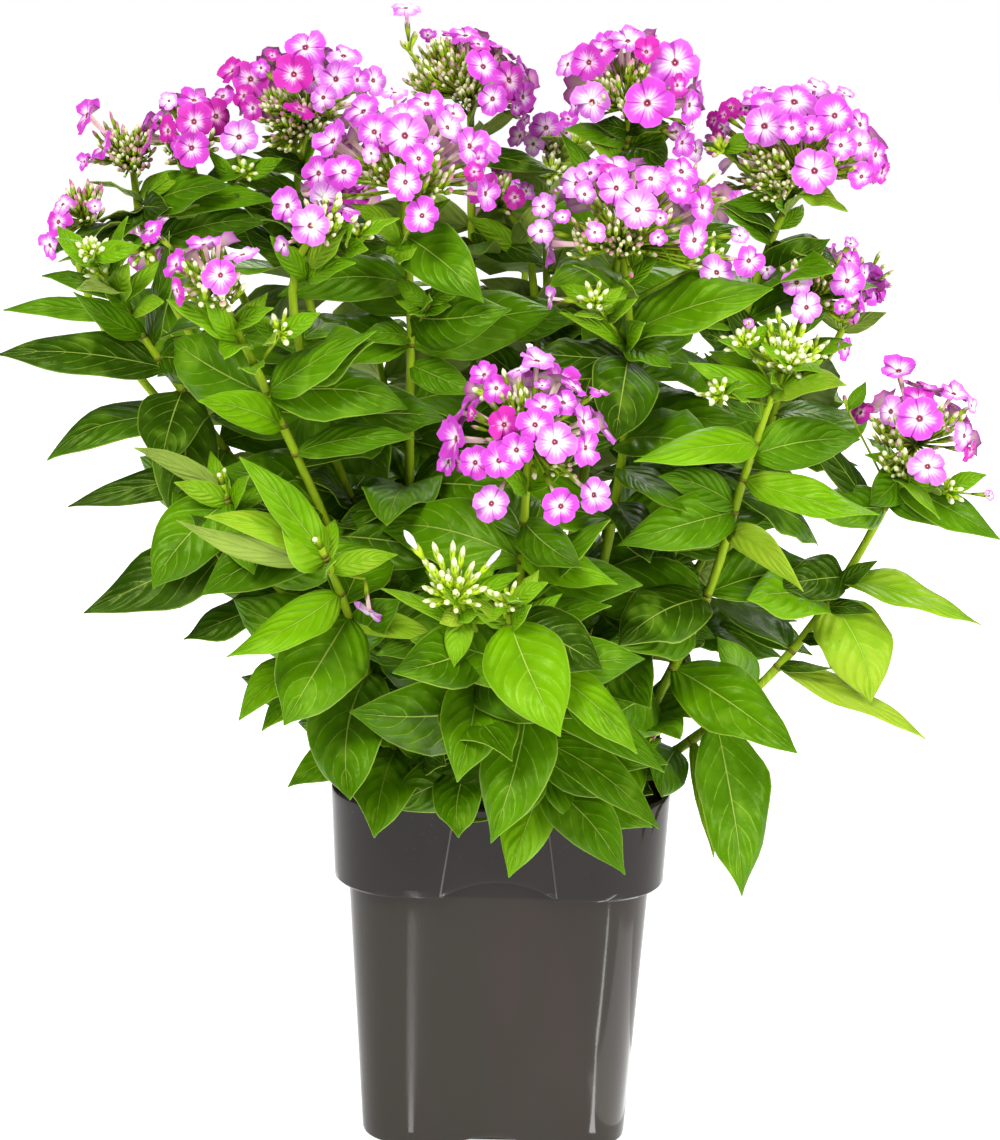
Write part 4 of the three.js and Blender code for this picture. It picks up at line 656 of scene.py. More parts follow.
class Net:
    """The node tree of a material or a world, with one method that adds any node."""

    def __init__(self, owner: bpy.types.Material | bpy.types.World) -> None:
        """Keeps the owner's tree and its shader.

        Args:
            owner: The material or world.
        """
        self.owner = owner
        owner.use_nodes = True
        self.tree = owner.node_tree
        self.shader = next(n for n in self.tree.nodes
                           if n.type in ("BSDF_PRINCIPLED", "BACKGROUND"))

    @classmethod
    def material(cls, name: str) -> "Net":
        """The tree of a new material."""
        return cls(bpy.data.materials.new(name))

    def node(self, kind: str, settings: dict[str, object] | None = None, *values: object,
             output: str | int = 0, **named: object) -> Sock:
        """Adds a node.

        Args:
            kind: The node's type.
            settings: Its settings, set before its sockets.
            values: Values or links of its first sockets, in order; None leaves one as it is.
            output: The output to give back.
            named: Values or links by socket name, with _ for a space.

        Returns:
            The chosen output.
        """
        node = self.tree.nodes.new(kind)
        for key, value in (settings or {}).items():
            if key == "stops":
                self._stops(node.color_ramp, value)
            else:
                setattr(node, key, value)
        for socket, value in zip(node.inputs, values):
            if value is not None:
                self._feed(socket, value)
        for key, value in named.items():
            self._feed(node.inputs[key.replace("_", " ")], value)
        return Sock(self, node.outputs[output])

    def _feed(self, socket: bpy.types.NodeSocket, value: object) -> None:
        """Links a socket or sets its value, which may be a colour's code.

        Args:
            socket: The socket.
            value: A link, a number, a vector or a colour's code.
        """
        if isinstance(value, Sock):
            self.tree.links.new(value.socket, socket)
        else:
            socket.default_value = rgb(value) if isinstance(value, str) else value

    @staticmethod
    def _stops(ramp: bpy.types.ColorRamp, stops: Sequence[tuple[float, tuple]]) -> None:
        """Puts colour stops on a ramp.

        Args:
            ramp: The ramp.
            stops: The place and colour of each stop.
        """
        while len(ramp.elements) < len(stops):
            ramp.elements.new(1.0)
        for element, (place, colour) in zip(ramp.elements, stops):
            element.position = place
            element.color = colour

    def mix(self, share: Sock | float, first: object, second: object, kind: str = "MIX") -> Sock:
        """Two colours mixed by a share.

        Args:
            share: How much of the second colour shows.
            first: The first colour.
            second: The second colour.
            kind: How they are blended.

        Returns:
            The colour.
        """
        node = self.tree.nodes.new("ShaderNodeMix")
        node.data_type = "RGBA"
        node.blend_type = kind
        for socket, value in ((node.inputs[0], share), (node.inputs[6], first),
                              (node.inputs[7], second)):
            self._feed(socket, value)
        return Sock(self, node.outputs[2])

    def place(self, scale: Point = (1, 1, 1)) -> Sock:
        """Object coordinates, scaled."""
        spot = self.node("ShaderNodeTexCoord", output="Object")
        return self.node("ShaderNodeMapping", None, Vector=spot, Scale=scale)

    def noise(self, vector: Sock, scale: float, detail: float = 3, rough: float = 0.5) -> Sock:
        """Cloudy noise from 0 to 1."""
        return self.node("ShaderNodeTexNoise", None, Vector=vector, Scale=scale, Detail=detail,
                         Roughness=rough)

    def attribute(self, name: str) -> Sock:
        """A number kept on the mesh."""
        return self.node("ShaderNodeAttribute", {"attribute_name": name}, output="Fac")

    def uv(self) -> tuple[Sock, Sock]:
        """The two coordinates of the piece's own map.

        Returns:
            The coordinate across and the one along.
        """
        spot = self.node("ShaderNodeUVMap", {"uv_map": "UVMap"})
        split = self.node("ShaderNodeSeparateXYZ", None, spot)
        return split, Sock(self, split.socket.node.outputs[1])

    def bump(self, height: Sock, strength: float, distance: float) -> Sock:
        """A surface relief from a height in 0 to 1."""
        return self.node("ShaderNodeBump", None, Height=height, Strength=strength,
                         Distance=distance)

    def finish(self, **sockets: object) -> bpy.types.Material | bpy.types.World:
        """Feeds the shader's sockets and gives the material or world back.

        Args:
            sockets: Values or links by socket name, with _ for a space.

        Returns:
            The owner.
        """
        for key, value in sockets.items():
            self._feed(self.shader.inputs[key.replace("_", " ")], value)
        return self.owner


@dataclass(frozen=True)
class MouldedPlastic:
    """Dark warm grey moulded plastic with a soft gloss, faint flow marks and dust near the rim."""

    body: str = "2b2721"
    warm: str = "2f2723"
    cloud: str = "34302a"
    # Painted shade: the collar is the body's plastic, painted darker for the leaves' shade over
    # it.
    collar: str = "161213"
    dust: str = "6d665c"
    # Painted highlight along the panel creases.
    crease: str = "8f8a84"
    roughness: float = 0.1

    def build(self) -> bpy.types.Material:
        """Makes the material.

        Returns:
            The material.
        """
        net = Net.material("moulded_plastic")
        streaks = net.noise(net.place((9, 9, 1.2)), 3.5, 4)
        clouds = net.noise(net.place(), 9, 3)
        colour = net.mix(streaks.rise(0.42, 0.68), self.body, self.warm)
        colour = net.mix(clouds.rise(0.5, 0.8) * 0.35, colour, self.cloud)
        specks = net.noise(net.place(), 420, 2).rise(0.66, 0.78)
        x = net.node("ShaderNodeSeparateXYZ", None, net.place())
        y, height = (Sock(net, x.socket.node.outputs[k]) for k in (1, 2))
        # Painted shade: from the collar's foot up, the plastic is painted darker for the shade of
        # the leaves over it.
        colour = net.mix(height.rise(0.1425, 0.1445) * 0.6, colour, self.collar)
        colour = net.mix(specks * (height.rise(0.15, 0.2) * 0.3), colour, self.dust)
        # Painted highlight: the creases beside the sunk panels are painted lighter, where they
        # would catch the light.
        aside = x.math("MINIMUM", x.size(), y.size())
        crease = (aside + height * 0.14 - 0.05025).size().rise(0.0006, 0.0002)
        crease = crease * height.rise(0.1455, 0.147) * height.rise(0.1905, 0.189)
        colour = net.mix(crease * 0.32, colour, self.crease)
        rough = clouds * 0.12 + (self.roughness - 0.05) + specks * 0.1
        grain = net.noise(net.place(), 900, 2) * 0.5 + net.noise(net.place((1, 1, 0.15)), 60, 2)
        return net.finish(Base_Color=colour, Roughness=rough, Specular_IOR_Level=0.22,
                          Normal=net.bump(grain, 0.05, 0.0004))


@dataclass(frozen=True)
class BarkSoil:
    """Dark peat with fibres and bark chips."""

    dark: str = "1d120c"
    mid: str = "3b2618"
    light: str = "70492c"

    def build(self) -> bpy.types.Material:
        """Makes the material.

        Returns:
            The material.
        """
        net = Net.material("bark_soil")
        chips = net.attribute("tone")
        crumbs = net.noise(net.place(), 160, 5, 0.65)
        fibres = net.noise(net.place((1, 1, 5)), 90, 4, 0.6)
        colour = net.mix(crumbs.rise(0.35, 0.7), self.dark, self.mid)
        colour = net.mix(chips * fibres.rise(0.3, 0.62), colour, self.light)
        relief = net.bump(crumbs + fibres * 0.5, 0.7, 0.0015)
        return net.finish(Base_Color=colour, Roughness=crumbs * 0.2 + 0.75, Normal=relief)


@dataclass(frozen=True)
class GreenStalk:
    """A fleshy stalk, darker near the soil, browner in a full head, yellower in a young one."""

    low: str = "4c6410"
    high: str = "86a214"
    streak: str = "b8cc44"
    blush: str = "6c3b2c"
    aged: str = "5f4f22"
    young: str = "b3d028"
    gloss: str = "e4f2a0"

    def build(self) -> bpy.types.Material:
        """Makes the material.

        Returns:
            The material.
        """
        net = Net.material("green_stalk")
        _, along = net.uv()
        tone = net.attribute("tone")
        streaks = net.noise(net.place((1, 1, 0.06)), 700, 3)
        patches = net.noise(net.place(), 45, 3)
        colour = net.mix((along + patches * 0.3).rise(0.1, 0.9), self.low, self.high)
        colour = net.mix(streaks.rise(0.45, 0.75) * 0.25, colour, self.streak)
        colour = net.mix(patches.rise(0.62, 0.8) * (1 - along) * 0.45, colour, self.blush)
        colour = net.mix(tone.rise(0.4, 0.1) * 0.8, colour, self.aged)
        colour = net.mix(tone.rise(0.6, 0.9), colour, self.young)
        return net.finish(Base_Color=colour, Roughness=streaks * 0.15 + 0.4,
                          Specular_IOR_Level=0.3, Specular_Tint=self.gloss,
                          Normal=net.bump(streaks, 0.25, 0.0004))


@dataclass(frozen=True)
class LeafBlade:
    """A glossy leaf: a light midrib, faint side veins, patches of painted sheen and a paler
    underside.
    """

    dark: str = "233e00"
    mid: str = "447000"
    bright: str = "669802"
    young: str = "8fa928"
    vein: str = "a9c44c"
    # Painted sheen: a paler green that stands in for gloss.
    painted_sheen: str = "86b22c"
    margin: str = "a4c244"
    under: str = "9cae50"
    gloss: str = "d4f28c"
    side_veins: float = 6.5

    def build(self) -> bpy.types.Material:
        """Makes the material.

        Returns:
            The material.
        """
        net = Net.material("leaf_blade")
        across, along = net.uv()
        out = (across * 2 - 1).size()
        tone = net.attribute("tone")
        under = net.attribute("under")
        clouds = net.noise(net.place(), 34, 4)
        mottle = net.noise(net.place(), 170, 3)
        patches = net.noise(net.place((1, 1, 0.6)), 62, 2)
        crinkle = net.noise(net.place(), 430, 2)
        shade = tone + (clouds - 0.5) * 0.5 + (mottle - 0.5) * 0.14 - out.rise(0.25, 0.0) * 0.08
        colour = net.mix(shade.rise(0.05, 0.42), self.dark, self.mid)
        colour = net.mix(shade.rise(0.36, 0.74), colour, self.bright)
        colour = net.mix(shade.rise(0.7, 1.02), colour, self.young)
        # Side veins leave the midrib at a slant and bend towards the tip near the edge.
        phase = (along - out * 0.2 - out * out * 0.16) * self.side_veins + (clouds - 0.5) * 0.5
        ripple = (phase * (2 * math.pi)).wave()
        away = out.rise(0.95, 0.7) * along.rise(0.99, 0.88)
        side = ripple.rise(0.95, 1.0) * away
        rib = (out + along * 0.012).rise(0.038, 0.014)
        # Painted sheen: paler green patches in place of glossy highlights.
        colour = net.mix(patches.rise(0.52, 0.76) * 0.3, colour, self.painted_sheen)
        colour = net.mix(side * mottle.rise(0.3, 0.6) * 0.27, colour, self.vein)
        colour = net.mix(rib * 0.65, colour, self.vein)
        colour = net.mix(out.rise(0.95, 1.0) * 0.45, colour, self.margin)
        colour = net.mix(under * (tone * 0.3 + 0.5), colour, self.under)
        quilt = (ripple * -0.5 + 0.5) * away * out.rise(0.02, 0.3)
        relief = quilt * (clouds * 0.7 + 0.1) + patches * 0.5 + mottle * 0.35 + crinkle * 0.15
        relief = relief - rib * 0.5 * (1 - under)
        relief = relief + under * rib * 1.2
        rough = clouds * 0.16 + mottle * 0.1 + under * 0.25 + 0.24
        return net.finish(Base_Color=colour, Roughness=rough, Specular_IOR_Level=0.28,
                          Specular_Tint=self.gloss,
                          Normal=net.bump(relief, 0.75, 0.0014))


@dataclass(frozen=True)
class PetalSkin:
    """Petals: magenta-pink rims fading to white round a small dark eye, on a rosy tube."""

    rim: str = "c344c4"
    deep: str = "b41894"
    pale: str = "d080d6"
    heart: str = "fbf0fa"
    edge: str = "dc96e0"
    # Painted shade where one petal overlaps the next.
    painted_overlap_shade: str = "a634ac"
    eye: str = "7a0c38"
    pollen: str = "e9b6a0"
    line: str = "b8388e"
    # The undersides are paler pink, and lighter still as painted light for what shines through
    # thin petals.
    back: str = "eeb8f0"
    deep_back: str = "d880de"
    tube: str = "ecbcc8"
    pale_tube: str = "e5cfc0"
    petals: int = 5

    def build(self) -> bpy.types.Material:
        """Makes the material.

        Returns:
            The material.
        """
        net = Net.material("petal_skin")
        across, along = net.uv()
        x, y = across * 2 - 1, along * 2 - 1
        radius = (x * x + y * y).root()
        angle = y.math("ARCTAN2", y, x)
        tone = net.attribute("tone")
        under = net.attribute("under")
        clouds = net.noise(net.place(), 120, 3)
        fine = net.noise(net.place(), 700, 3)
        rim = net.mix((tone + (clouds - 0.5) * 0.5).rise(0.5, 0.9), self.rim, self.deep)
        rim = net.mix((tone + (clouds - 0.5) * 0.5).rise(0.5, 0.1), rim, self.pale)
        streak = (angle * (self.petals * 4)).wave() * 0.5 + 0.5
        lobe = (angle * self.petals).wave() * 0.5 + 0.5
        reach = radius + (clouds - 0.5) * 0.5 + (streak - 0.5) * 0.1 - lobe * 0.12
        spread = (reach + tone * 0.42).rise(0.18, 0.86)
        colour = net.mix(spread, self.heart, rim)
        colour = net.mix(radius.rise(0.9, 1.0) * (1 - tone) * 0.5, colour, self.edge)
        # Painted shade: a deeper line along the petal boundaries, where petals overlap.
        painted_overlap_shade = lobe.rise(0.05, 0.0) * radius.rise(0.2, 0.4)
        colour = net.mix(painted_overlap_shade * 0.35, colour, self.painted_overlap_shade)
        guide = (angle * (self.petals * 2)).wave().rise(0.93, 1.0)
        guide = guide * radius.rise(0.8, 0.25) * radius.rise(0.12, 0.2)
        colour = net.mix(guide * 0.7, colour, self.line)
        pupil = radius + (fine - 0.5) * 0.08 - streak * 0.06
        colour = net.mix(pupil.rise(0.18, 0.09), colour, self.eye)
        colour = net.mix(radius.rise(0.045, 0.015), colour, self.pollen)
        # Undersides: paler pink, partly their own colour and partly painted light for the light
        # through the petals.
        back = net.mix(clouds.rise(0.3, 0.8), self.back, self.deep_back)
        tube = net.mix(clouds.rise(0.3, 0.7), self.tube, self.pale_tube)
        colour = net.mix(under, colour, back)
        colour = net.mix(net.attribute("tube"), colour, tube)
        grain = fine * 0.6 + (angle * (self.petals * 9)).wave() * 0.2
        return net.finish(Base_Color=colour, Roughness=fine * 0.15 + 0.5,
                          Specular_IOR_Level=0.25, Normal=net.bump(grain, 0.2, 0.0004))


@dataclass(frozen=True)
class BudSkin:
    """Unopened buds: cream and pale green, with pink tips on the riper ones."""

    base: str = "86a034"
    body: str = "e4e6b4"
    pink: str = "b8628a"
    opening: str = "eadcec"

    def build(self) -> bpy.types.Material:
        """Makes the material.

        Returns:
            The material.
        """
        net = Net.material("bud_skin")
        _, along = net.uv()
        tone = net.attribute("tone")
        clouds = net.noise(net.place(), 260, 3)
        colour = net.mix((along + clouds * 0.3).rise(0.55, 1.0), self.base, self.body)
        ripe = (along + clouds * 0.35 + tone * 0.8).rise(1.25, 1.75)
        colour = net.mix(ripe, colour, self.pink)
        colour = net.mix(tone.rise(-0.4, -0.9) * along.rise(0.1, 0.4), colour, self.opening)
        return net.finish(Base_Color=colour, Roughness=clouds * 0.2 + 0.4,
                          Normal=net.bump(clouds, 0.15, 0.0005))


# ---------- Small shapes that are repeated ----------


class Shape:
    """A small closed mesh that is copied many times, with its points as an array.

    Each copy is moved point by point, and its map and its face order are kept.
    """

    def __init__(self, name: str, bm: bmesh.types.BMesh,
                 chart: Callable[[Vector], tuple[float, float]],
                 under: Callable[[Vector], float] = lambda co: 0.0,
                 tube: Callable[[Vector], float] = lambda co: 0.0,
                 material: int = 0, sharp: float = 180.0) -> None:
        """Keeps a bmesh as a mesh.

        Args:
            name: The mesh's name.
            bm: The shape; it is freed.
            chart: A point's place on the piece's map.
            under: How far a point belongs to the underside.
            tube: How far a point belongs to a floret's tube.
            material: The material slot of its faces.
            sharp: The angle past which an edge is sharp.
        """
        bmesh.ops.recalc_face_normals(bm, faces=bm.faces)
        layer = bm.loops.layers.uv.new("UVMap")
        below = bm.verts.layers.float.new("under")
        pipe = bm.verts.layers.float.new("tube")
        for vert in bm.verts:
            vert[below] = under(vert.co)
            vert[pipe] = tube(vert.co)
        for face in bm.faces:
            face.smooth = True
            face.material_index = material
            for loop in face.loops:
                loop[layer].uv = chart(loop.vert.co)
        for edge in bm.edges:
            if edge.is_manifold and edge.calc_face_angle(0.0) > math.radians(sharp):
                edge.smooth = False
        self.mesh = bpy.data.meshes.new(name)
        bm.to_mesh(self.mesh)
        bm.free()
        self.points = np.empty(len(self.mesh.vertices) * 3)
        self.mesh.vertices.foreach_get("co", self.points)
        self.points = self.points.reshape(-1, 3)


class Heap:
    """Copies of small shapes gathered into one piece."""

    def __init__(self) -> None:
        """Starts empty."""
        self.bm = bmesh.new()
        self.points: list[Array] = []
        self.tones: list[Array] = []

    def add(self, shape: Shape, points: Array, tone: float = 0.5) -> None:
        """Adds a copy of a shape with its points moved.

        Args:
            shape: The shape.
            points: Where its points go.
            tone: Its tone.
        """
        self.bm.from_mesh(shape.mesh)
        self.points.append(points)
        self.tones.append(np.full(len(points), tone))

    def stand(self, shape: Shape, scale: Sequence[float], turn: Array, spot: Vector,
              tone: float) -> None:
        """Adds a copy of a shape, scaled, turned and moved to a spot."""
        self.add(shape, (shape.points * np.array(scale)) @ turn.T + np.array(spot), tone)

    def piece(self, name: str, materials: Sequence[bpy.types.Material]) -> bpy.types.Object:
        """Makes the piece.

        Args:
            name: The piece's name.
            materials: Its materials, in the order of the shapes' slots.

        Returns:
            The new object, at the origin.
        """
        mesh = bpy.data.meshes.new(name)
        self.bm.to_mesh(mesh)
        self.bm.free()
        mesh.vertices.foreach_set("co", np.concatenate(self.points).ravel() * MM)
        tone = mesh.attributes.new("tone", "FLOAT", "POINT")
        tone.data.foreach_set("value", np.concatenate(self.tones))
        mesh.update()
        for material in materials:
            mesh.materials.append(material)
        return put(name, mesh)


def border(bm: bmesh.types.BMesh) -> list[bmesh.types.BMEdge]:
    """The edges that have a face on one side only."""
    return [edge for edge in bm.edges if edge.is_boundary]


def extruded(bm: bmesh.types.BMesh, edges: Sequence[bmesh.types.BMEdge]
             ) -> tuple[list[bmesh.types.BMVert], list[bmesh.types.BMEdge]]:
    """Extrudes edges, and gives the new points and edges.

    Args:
        bm: The mesh.
        edges: The edges to extrude.

    Returns:
        The new points and the new edges.
    """
    made = bmesh.ops.extrude_edge_only(bm, edges=edges)["geom"]
    return ([g for g in made if isinstance(g, bmesh.types.BMVert)],
            [g for g in made if isinstance(g, bmesh.types.BMEdge)])


def by_angle(verts: Iterable[bmesh.types.BMVert]) -> list[bmesh.types.BMVert]:
    """Points in the order of their angle about the upright."""
    return sorted(verts, key=lambda vert: math.atan2(vert.co.y, vert.co.x))


def bent_grid(columns: int, rows: int, place: Callable[[float, float], Point],
              merge: float = 1e-5) -> bmesh.types.BMesh:
    """A grid whose points are moved by a rule, with the points that meet merged.

    Args:
        columns: Faces in the first direction.
        rows: Faces in the second direction.
        place: Where the point at two shares from 0 to 1 goes.
        merge: How near two points are merged.

    Returns:
        The bmesh.
    """
    bm = bmesh.new()
    bmesh.ops.create_grid(bm, x_segments=columns, y_segments=rows, size=1)
    for vert in bm.verts:
        vert.co = place(vert.co.x / 2 + 0.5, vert.co.y / 2 + 0.5)
    bmesh.ops.remove_doubles(bm, verts=bm.verts, dist=merge)
    return bm


# A leaf's outline: the share of its length and its half width there, drawn out to a fine tip.
OUTLINE = np.array(((0, 0), (0.03, 0.22), (0.08, 0.47), (0.16, 0.75), (0.26, 0.93), (0.36, 1),
                    (0.46, 0.98), (0.57, 0.9), (0.68, 0.75), (0.78, 0.55), (0.87, 0.32),
                    (0.94, 0.14), (1, 0)))


def leaf_outline(share: Array) -> Array:
    """A leaf's half width as a share of its full half width, at shares of its rib."""
    return np.interp(share, OUTLINE[:, 0], OUTLINE[:, 1])


def leaf_shape(columns: int, rows: int) -> Shape:
    """A flat closed leaf: x across from -1 to 1, y along from 0 to 1, z its side.

    Args:
        columns: Faces across.
        rows: Faces along.

    Returns:
        The shape.
    """
    bm = bmesh.new()
    bmesh.ops.create_grid(bm, x_segments=columns, y_segments=rows, size=1)
    for vert in bm.verts:
        along = vert.co.y / 2 + 0.5
        # The rows stand closer at the base and the tip, where the outline bends most.
        vert.co.y = along - 0.04 * math.sin(math.tau * along)
        vert.co.z = 1
    under = bmesh.ops.duplicate(bm, geom=bm.verts[:] + bm.edges[:] + bm.faces[:])["geom"]
    for vert in [g for g in under if isinstance(g, bmesh.types.BMVert)]:
        vert.co.z = -1
    bmesh.ops.bridge_loops(bm, edges=border(bm))
    return Shape("leaf_shape", bm, lambda co: (co.x / 2 + 0.5, co.y),
                 under=lambda co: 1.0 if co.z < 0 else 0.0, material=1)


def stalk_shape(sides: int, rings: int) -> Shape:
    """A closed round bar of radius 1 from z = 0 to z = 1.

    Args:
        sides: Faces round it.
        rings: Faces along it.

    Returns:
        The shape.
    """
    bm = bmesh.new()
    bmesh.ops.create_cone(bm, cap_ends=True, segments=sides, radius1=1, radius2=1, depth=1)
    upright = [e for e in bm.edges if abs(e.verts[0].co.z - e.verts[1].co.z) > 0.5]
    if rings > 1:
        bmesh.ops.subdivide_edges(bm, edges=upright, cuts=rings - 1)
    bmesh.ops.translate(bm, verts=bm.verts, vec=(0, 0, 0.5))
    return Shape("stalk_shape", bm,
                 lambda co: (math.atan2(co.y, co.x) / math.tau + 0.5, co.z), material=0)


def profile_shape(name: str, sides: int, profile: Sequence[tuple[float, float]],
                  twist: float = 0.0, teeth: float = 0.0) -> Shape:
    """A body of revolution through (radius, height) pairs, closed at both ends.

    Args:
        name: The mesh's name.
        sides: How many sides.
        profile: Radius and height of each ring.
        twist: How far the last ring is turned, in radians.
        teeth: How far every other point of the last ring stands up, round a hollow.

    Returns:
        The shape, with its map's second coordinate running along it.
    """
    bm = bmesh.new()
    ring = bmesh.ops.create_circle(bm, cap_ends=True, segments=sides, radius=profile[0][0])
    bmesh.ops.translate(bm, verts=ring["verts"], vec=(0, 0, profile[0][1]))
    edges = bm.edges[:]
    for radius, height in profile[1:]:
        verts, edges = extruded(bm, edges)
        before = math.hypot(verts[0].co.x, verts[0].co.y)
        turn = Matrix.Rotation(twist / (len(profile) - 1), 4, "Z")
        bmesh.ops.scale(bm, vec=(radius / before, radius / before, 1), verts=verts)
        bmesh.ops.translate(bm, vec=(0, 0, height - verts[0].co.z), verts=verts)
        bmesh.ops.transform(bm, matrix=turn, verts=verts)
    lid = bmesh.ops.contextual_create(bm, geom=edges)["faces"]
    if teeth:
        for vert in by_angle(lid[0].verts)[::2]:
            vert.co.z += teeth
        bmesh.ops.poke(bm, faces=lid)["verts"][0].co.z = 0.6
    low, high = profile[0][1], profile[-1][1]
    return Shape(name, bm, lambda co: (0.5, (co.z - low) / (high - low)))


# A floret's rim: each petal's five points by angle from its middle, reach and lift.
PETAL_RIM = ((-35.0, 0.86, -0.08), (-19.0, 1.0, -0.03), (0.0, 1.0, 0.03), (19.0, 1.0, 0.05),
             (35.0, 0.86, 0.05))
PETALS = 5
TUBE = 1.9  # the tube's length, for a face of radius 1


def floret_shape() -> Shape:
    """A floret's face and tube, for a face of radius 1 that looks along +Z at z = 0.

    Returns:
        The shape.
    """
    sides = PETALS * len(PETAL_RIM)
    bm = bmesh.new()
    bmesh.ops.create_circle(bm, cap_ends=True, cap_tris=True, segments=sides, radius=0.5)
    rings = [by_angle(vert for vert in bm.verts if vert.co.length > 0.1)]
    edges = border(bm)
    for _ in range(3):
        verts, edges = extruded(bm, edges)
        rings.append(by_angle(verts))
    bmesh.ops.contextual_create(bm, geom=edges)
    for k, ring in enumerate(rings):
        for i, vert in enumerate(ring):
            degrees, reach, lift = PETAL_RIM[i % len(PETAL_RIM)]
            degrees = degrees if k < 2 else 0  # behind the face, a petal's points meet in one
            angle = math.radians(degrees + (i // len(PETAL_RIM)) * 360 / PETALS)
            out = (0.52 * (0.5 + 0.5 * reach), reach, 0.17, 0.1)[k]
            height = (0.02 + lift * 0.6, lift - 0.03, -0.16, -TUBE)[k]
            vert.co = (out * math.cos(angle), out * math.sin(angle), height)
    bmesh.ops.remove_doubles(bm, verts=bm.verts, dist=1e-4)
    for vert in bm.verts:
        if vert.co.length < 0.05:
            vert.co.z = -0.14
    return Shape("floret_shape", bm, lambda co: (co.x / 2 + 0.5, co.y / 2 + 0.5),
                 under=lambda co: 1.0 if co.z < -0.15 else 0.0,
                 tube=lambda co: 1.0 if co.z < -0.15 else 0.0, material=1, sharp=50)


def chip_shape() -> Shape:
    """A rough lump for a chip of bark.

    Returns:
        The shape.
    """
    bm = bmesh.new()
    bmesh.ops.create_icosphere(bm, subdivisions=1, radius=1)
    for i, vert in enumerate(bm.verts):
        vert.co *= 0.75 + 0.5 * chance(i, 3, 5)
    return Shape("chip_shape", bm, lambda co: (co.x, co.y), sharp=25)


# ---------- The container and its soil ----------


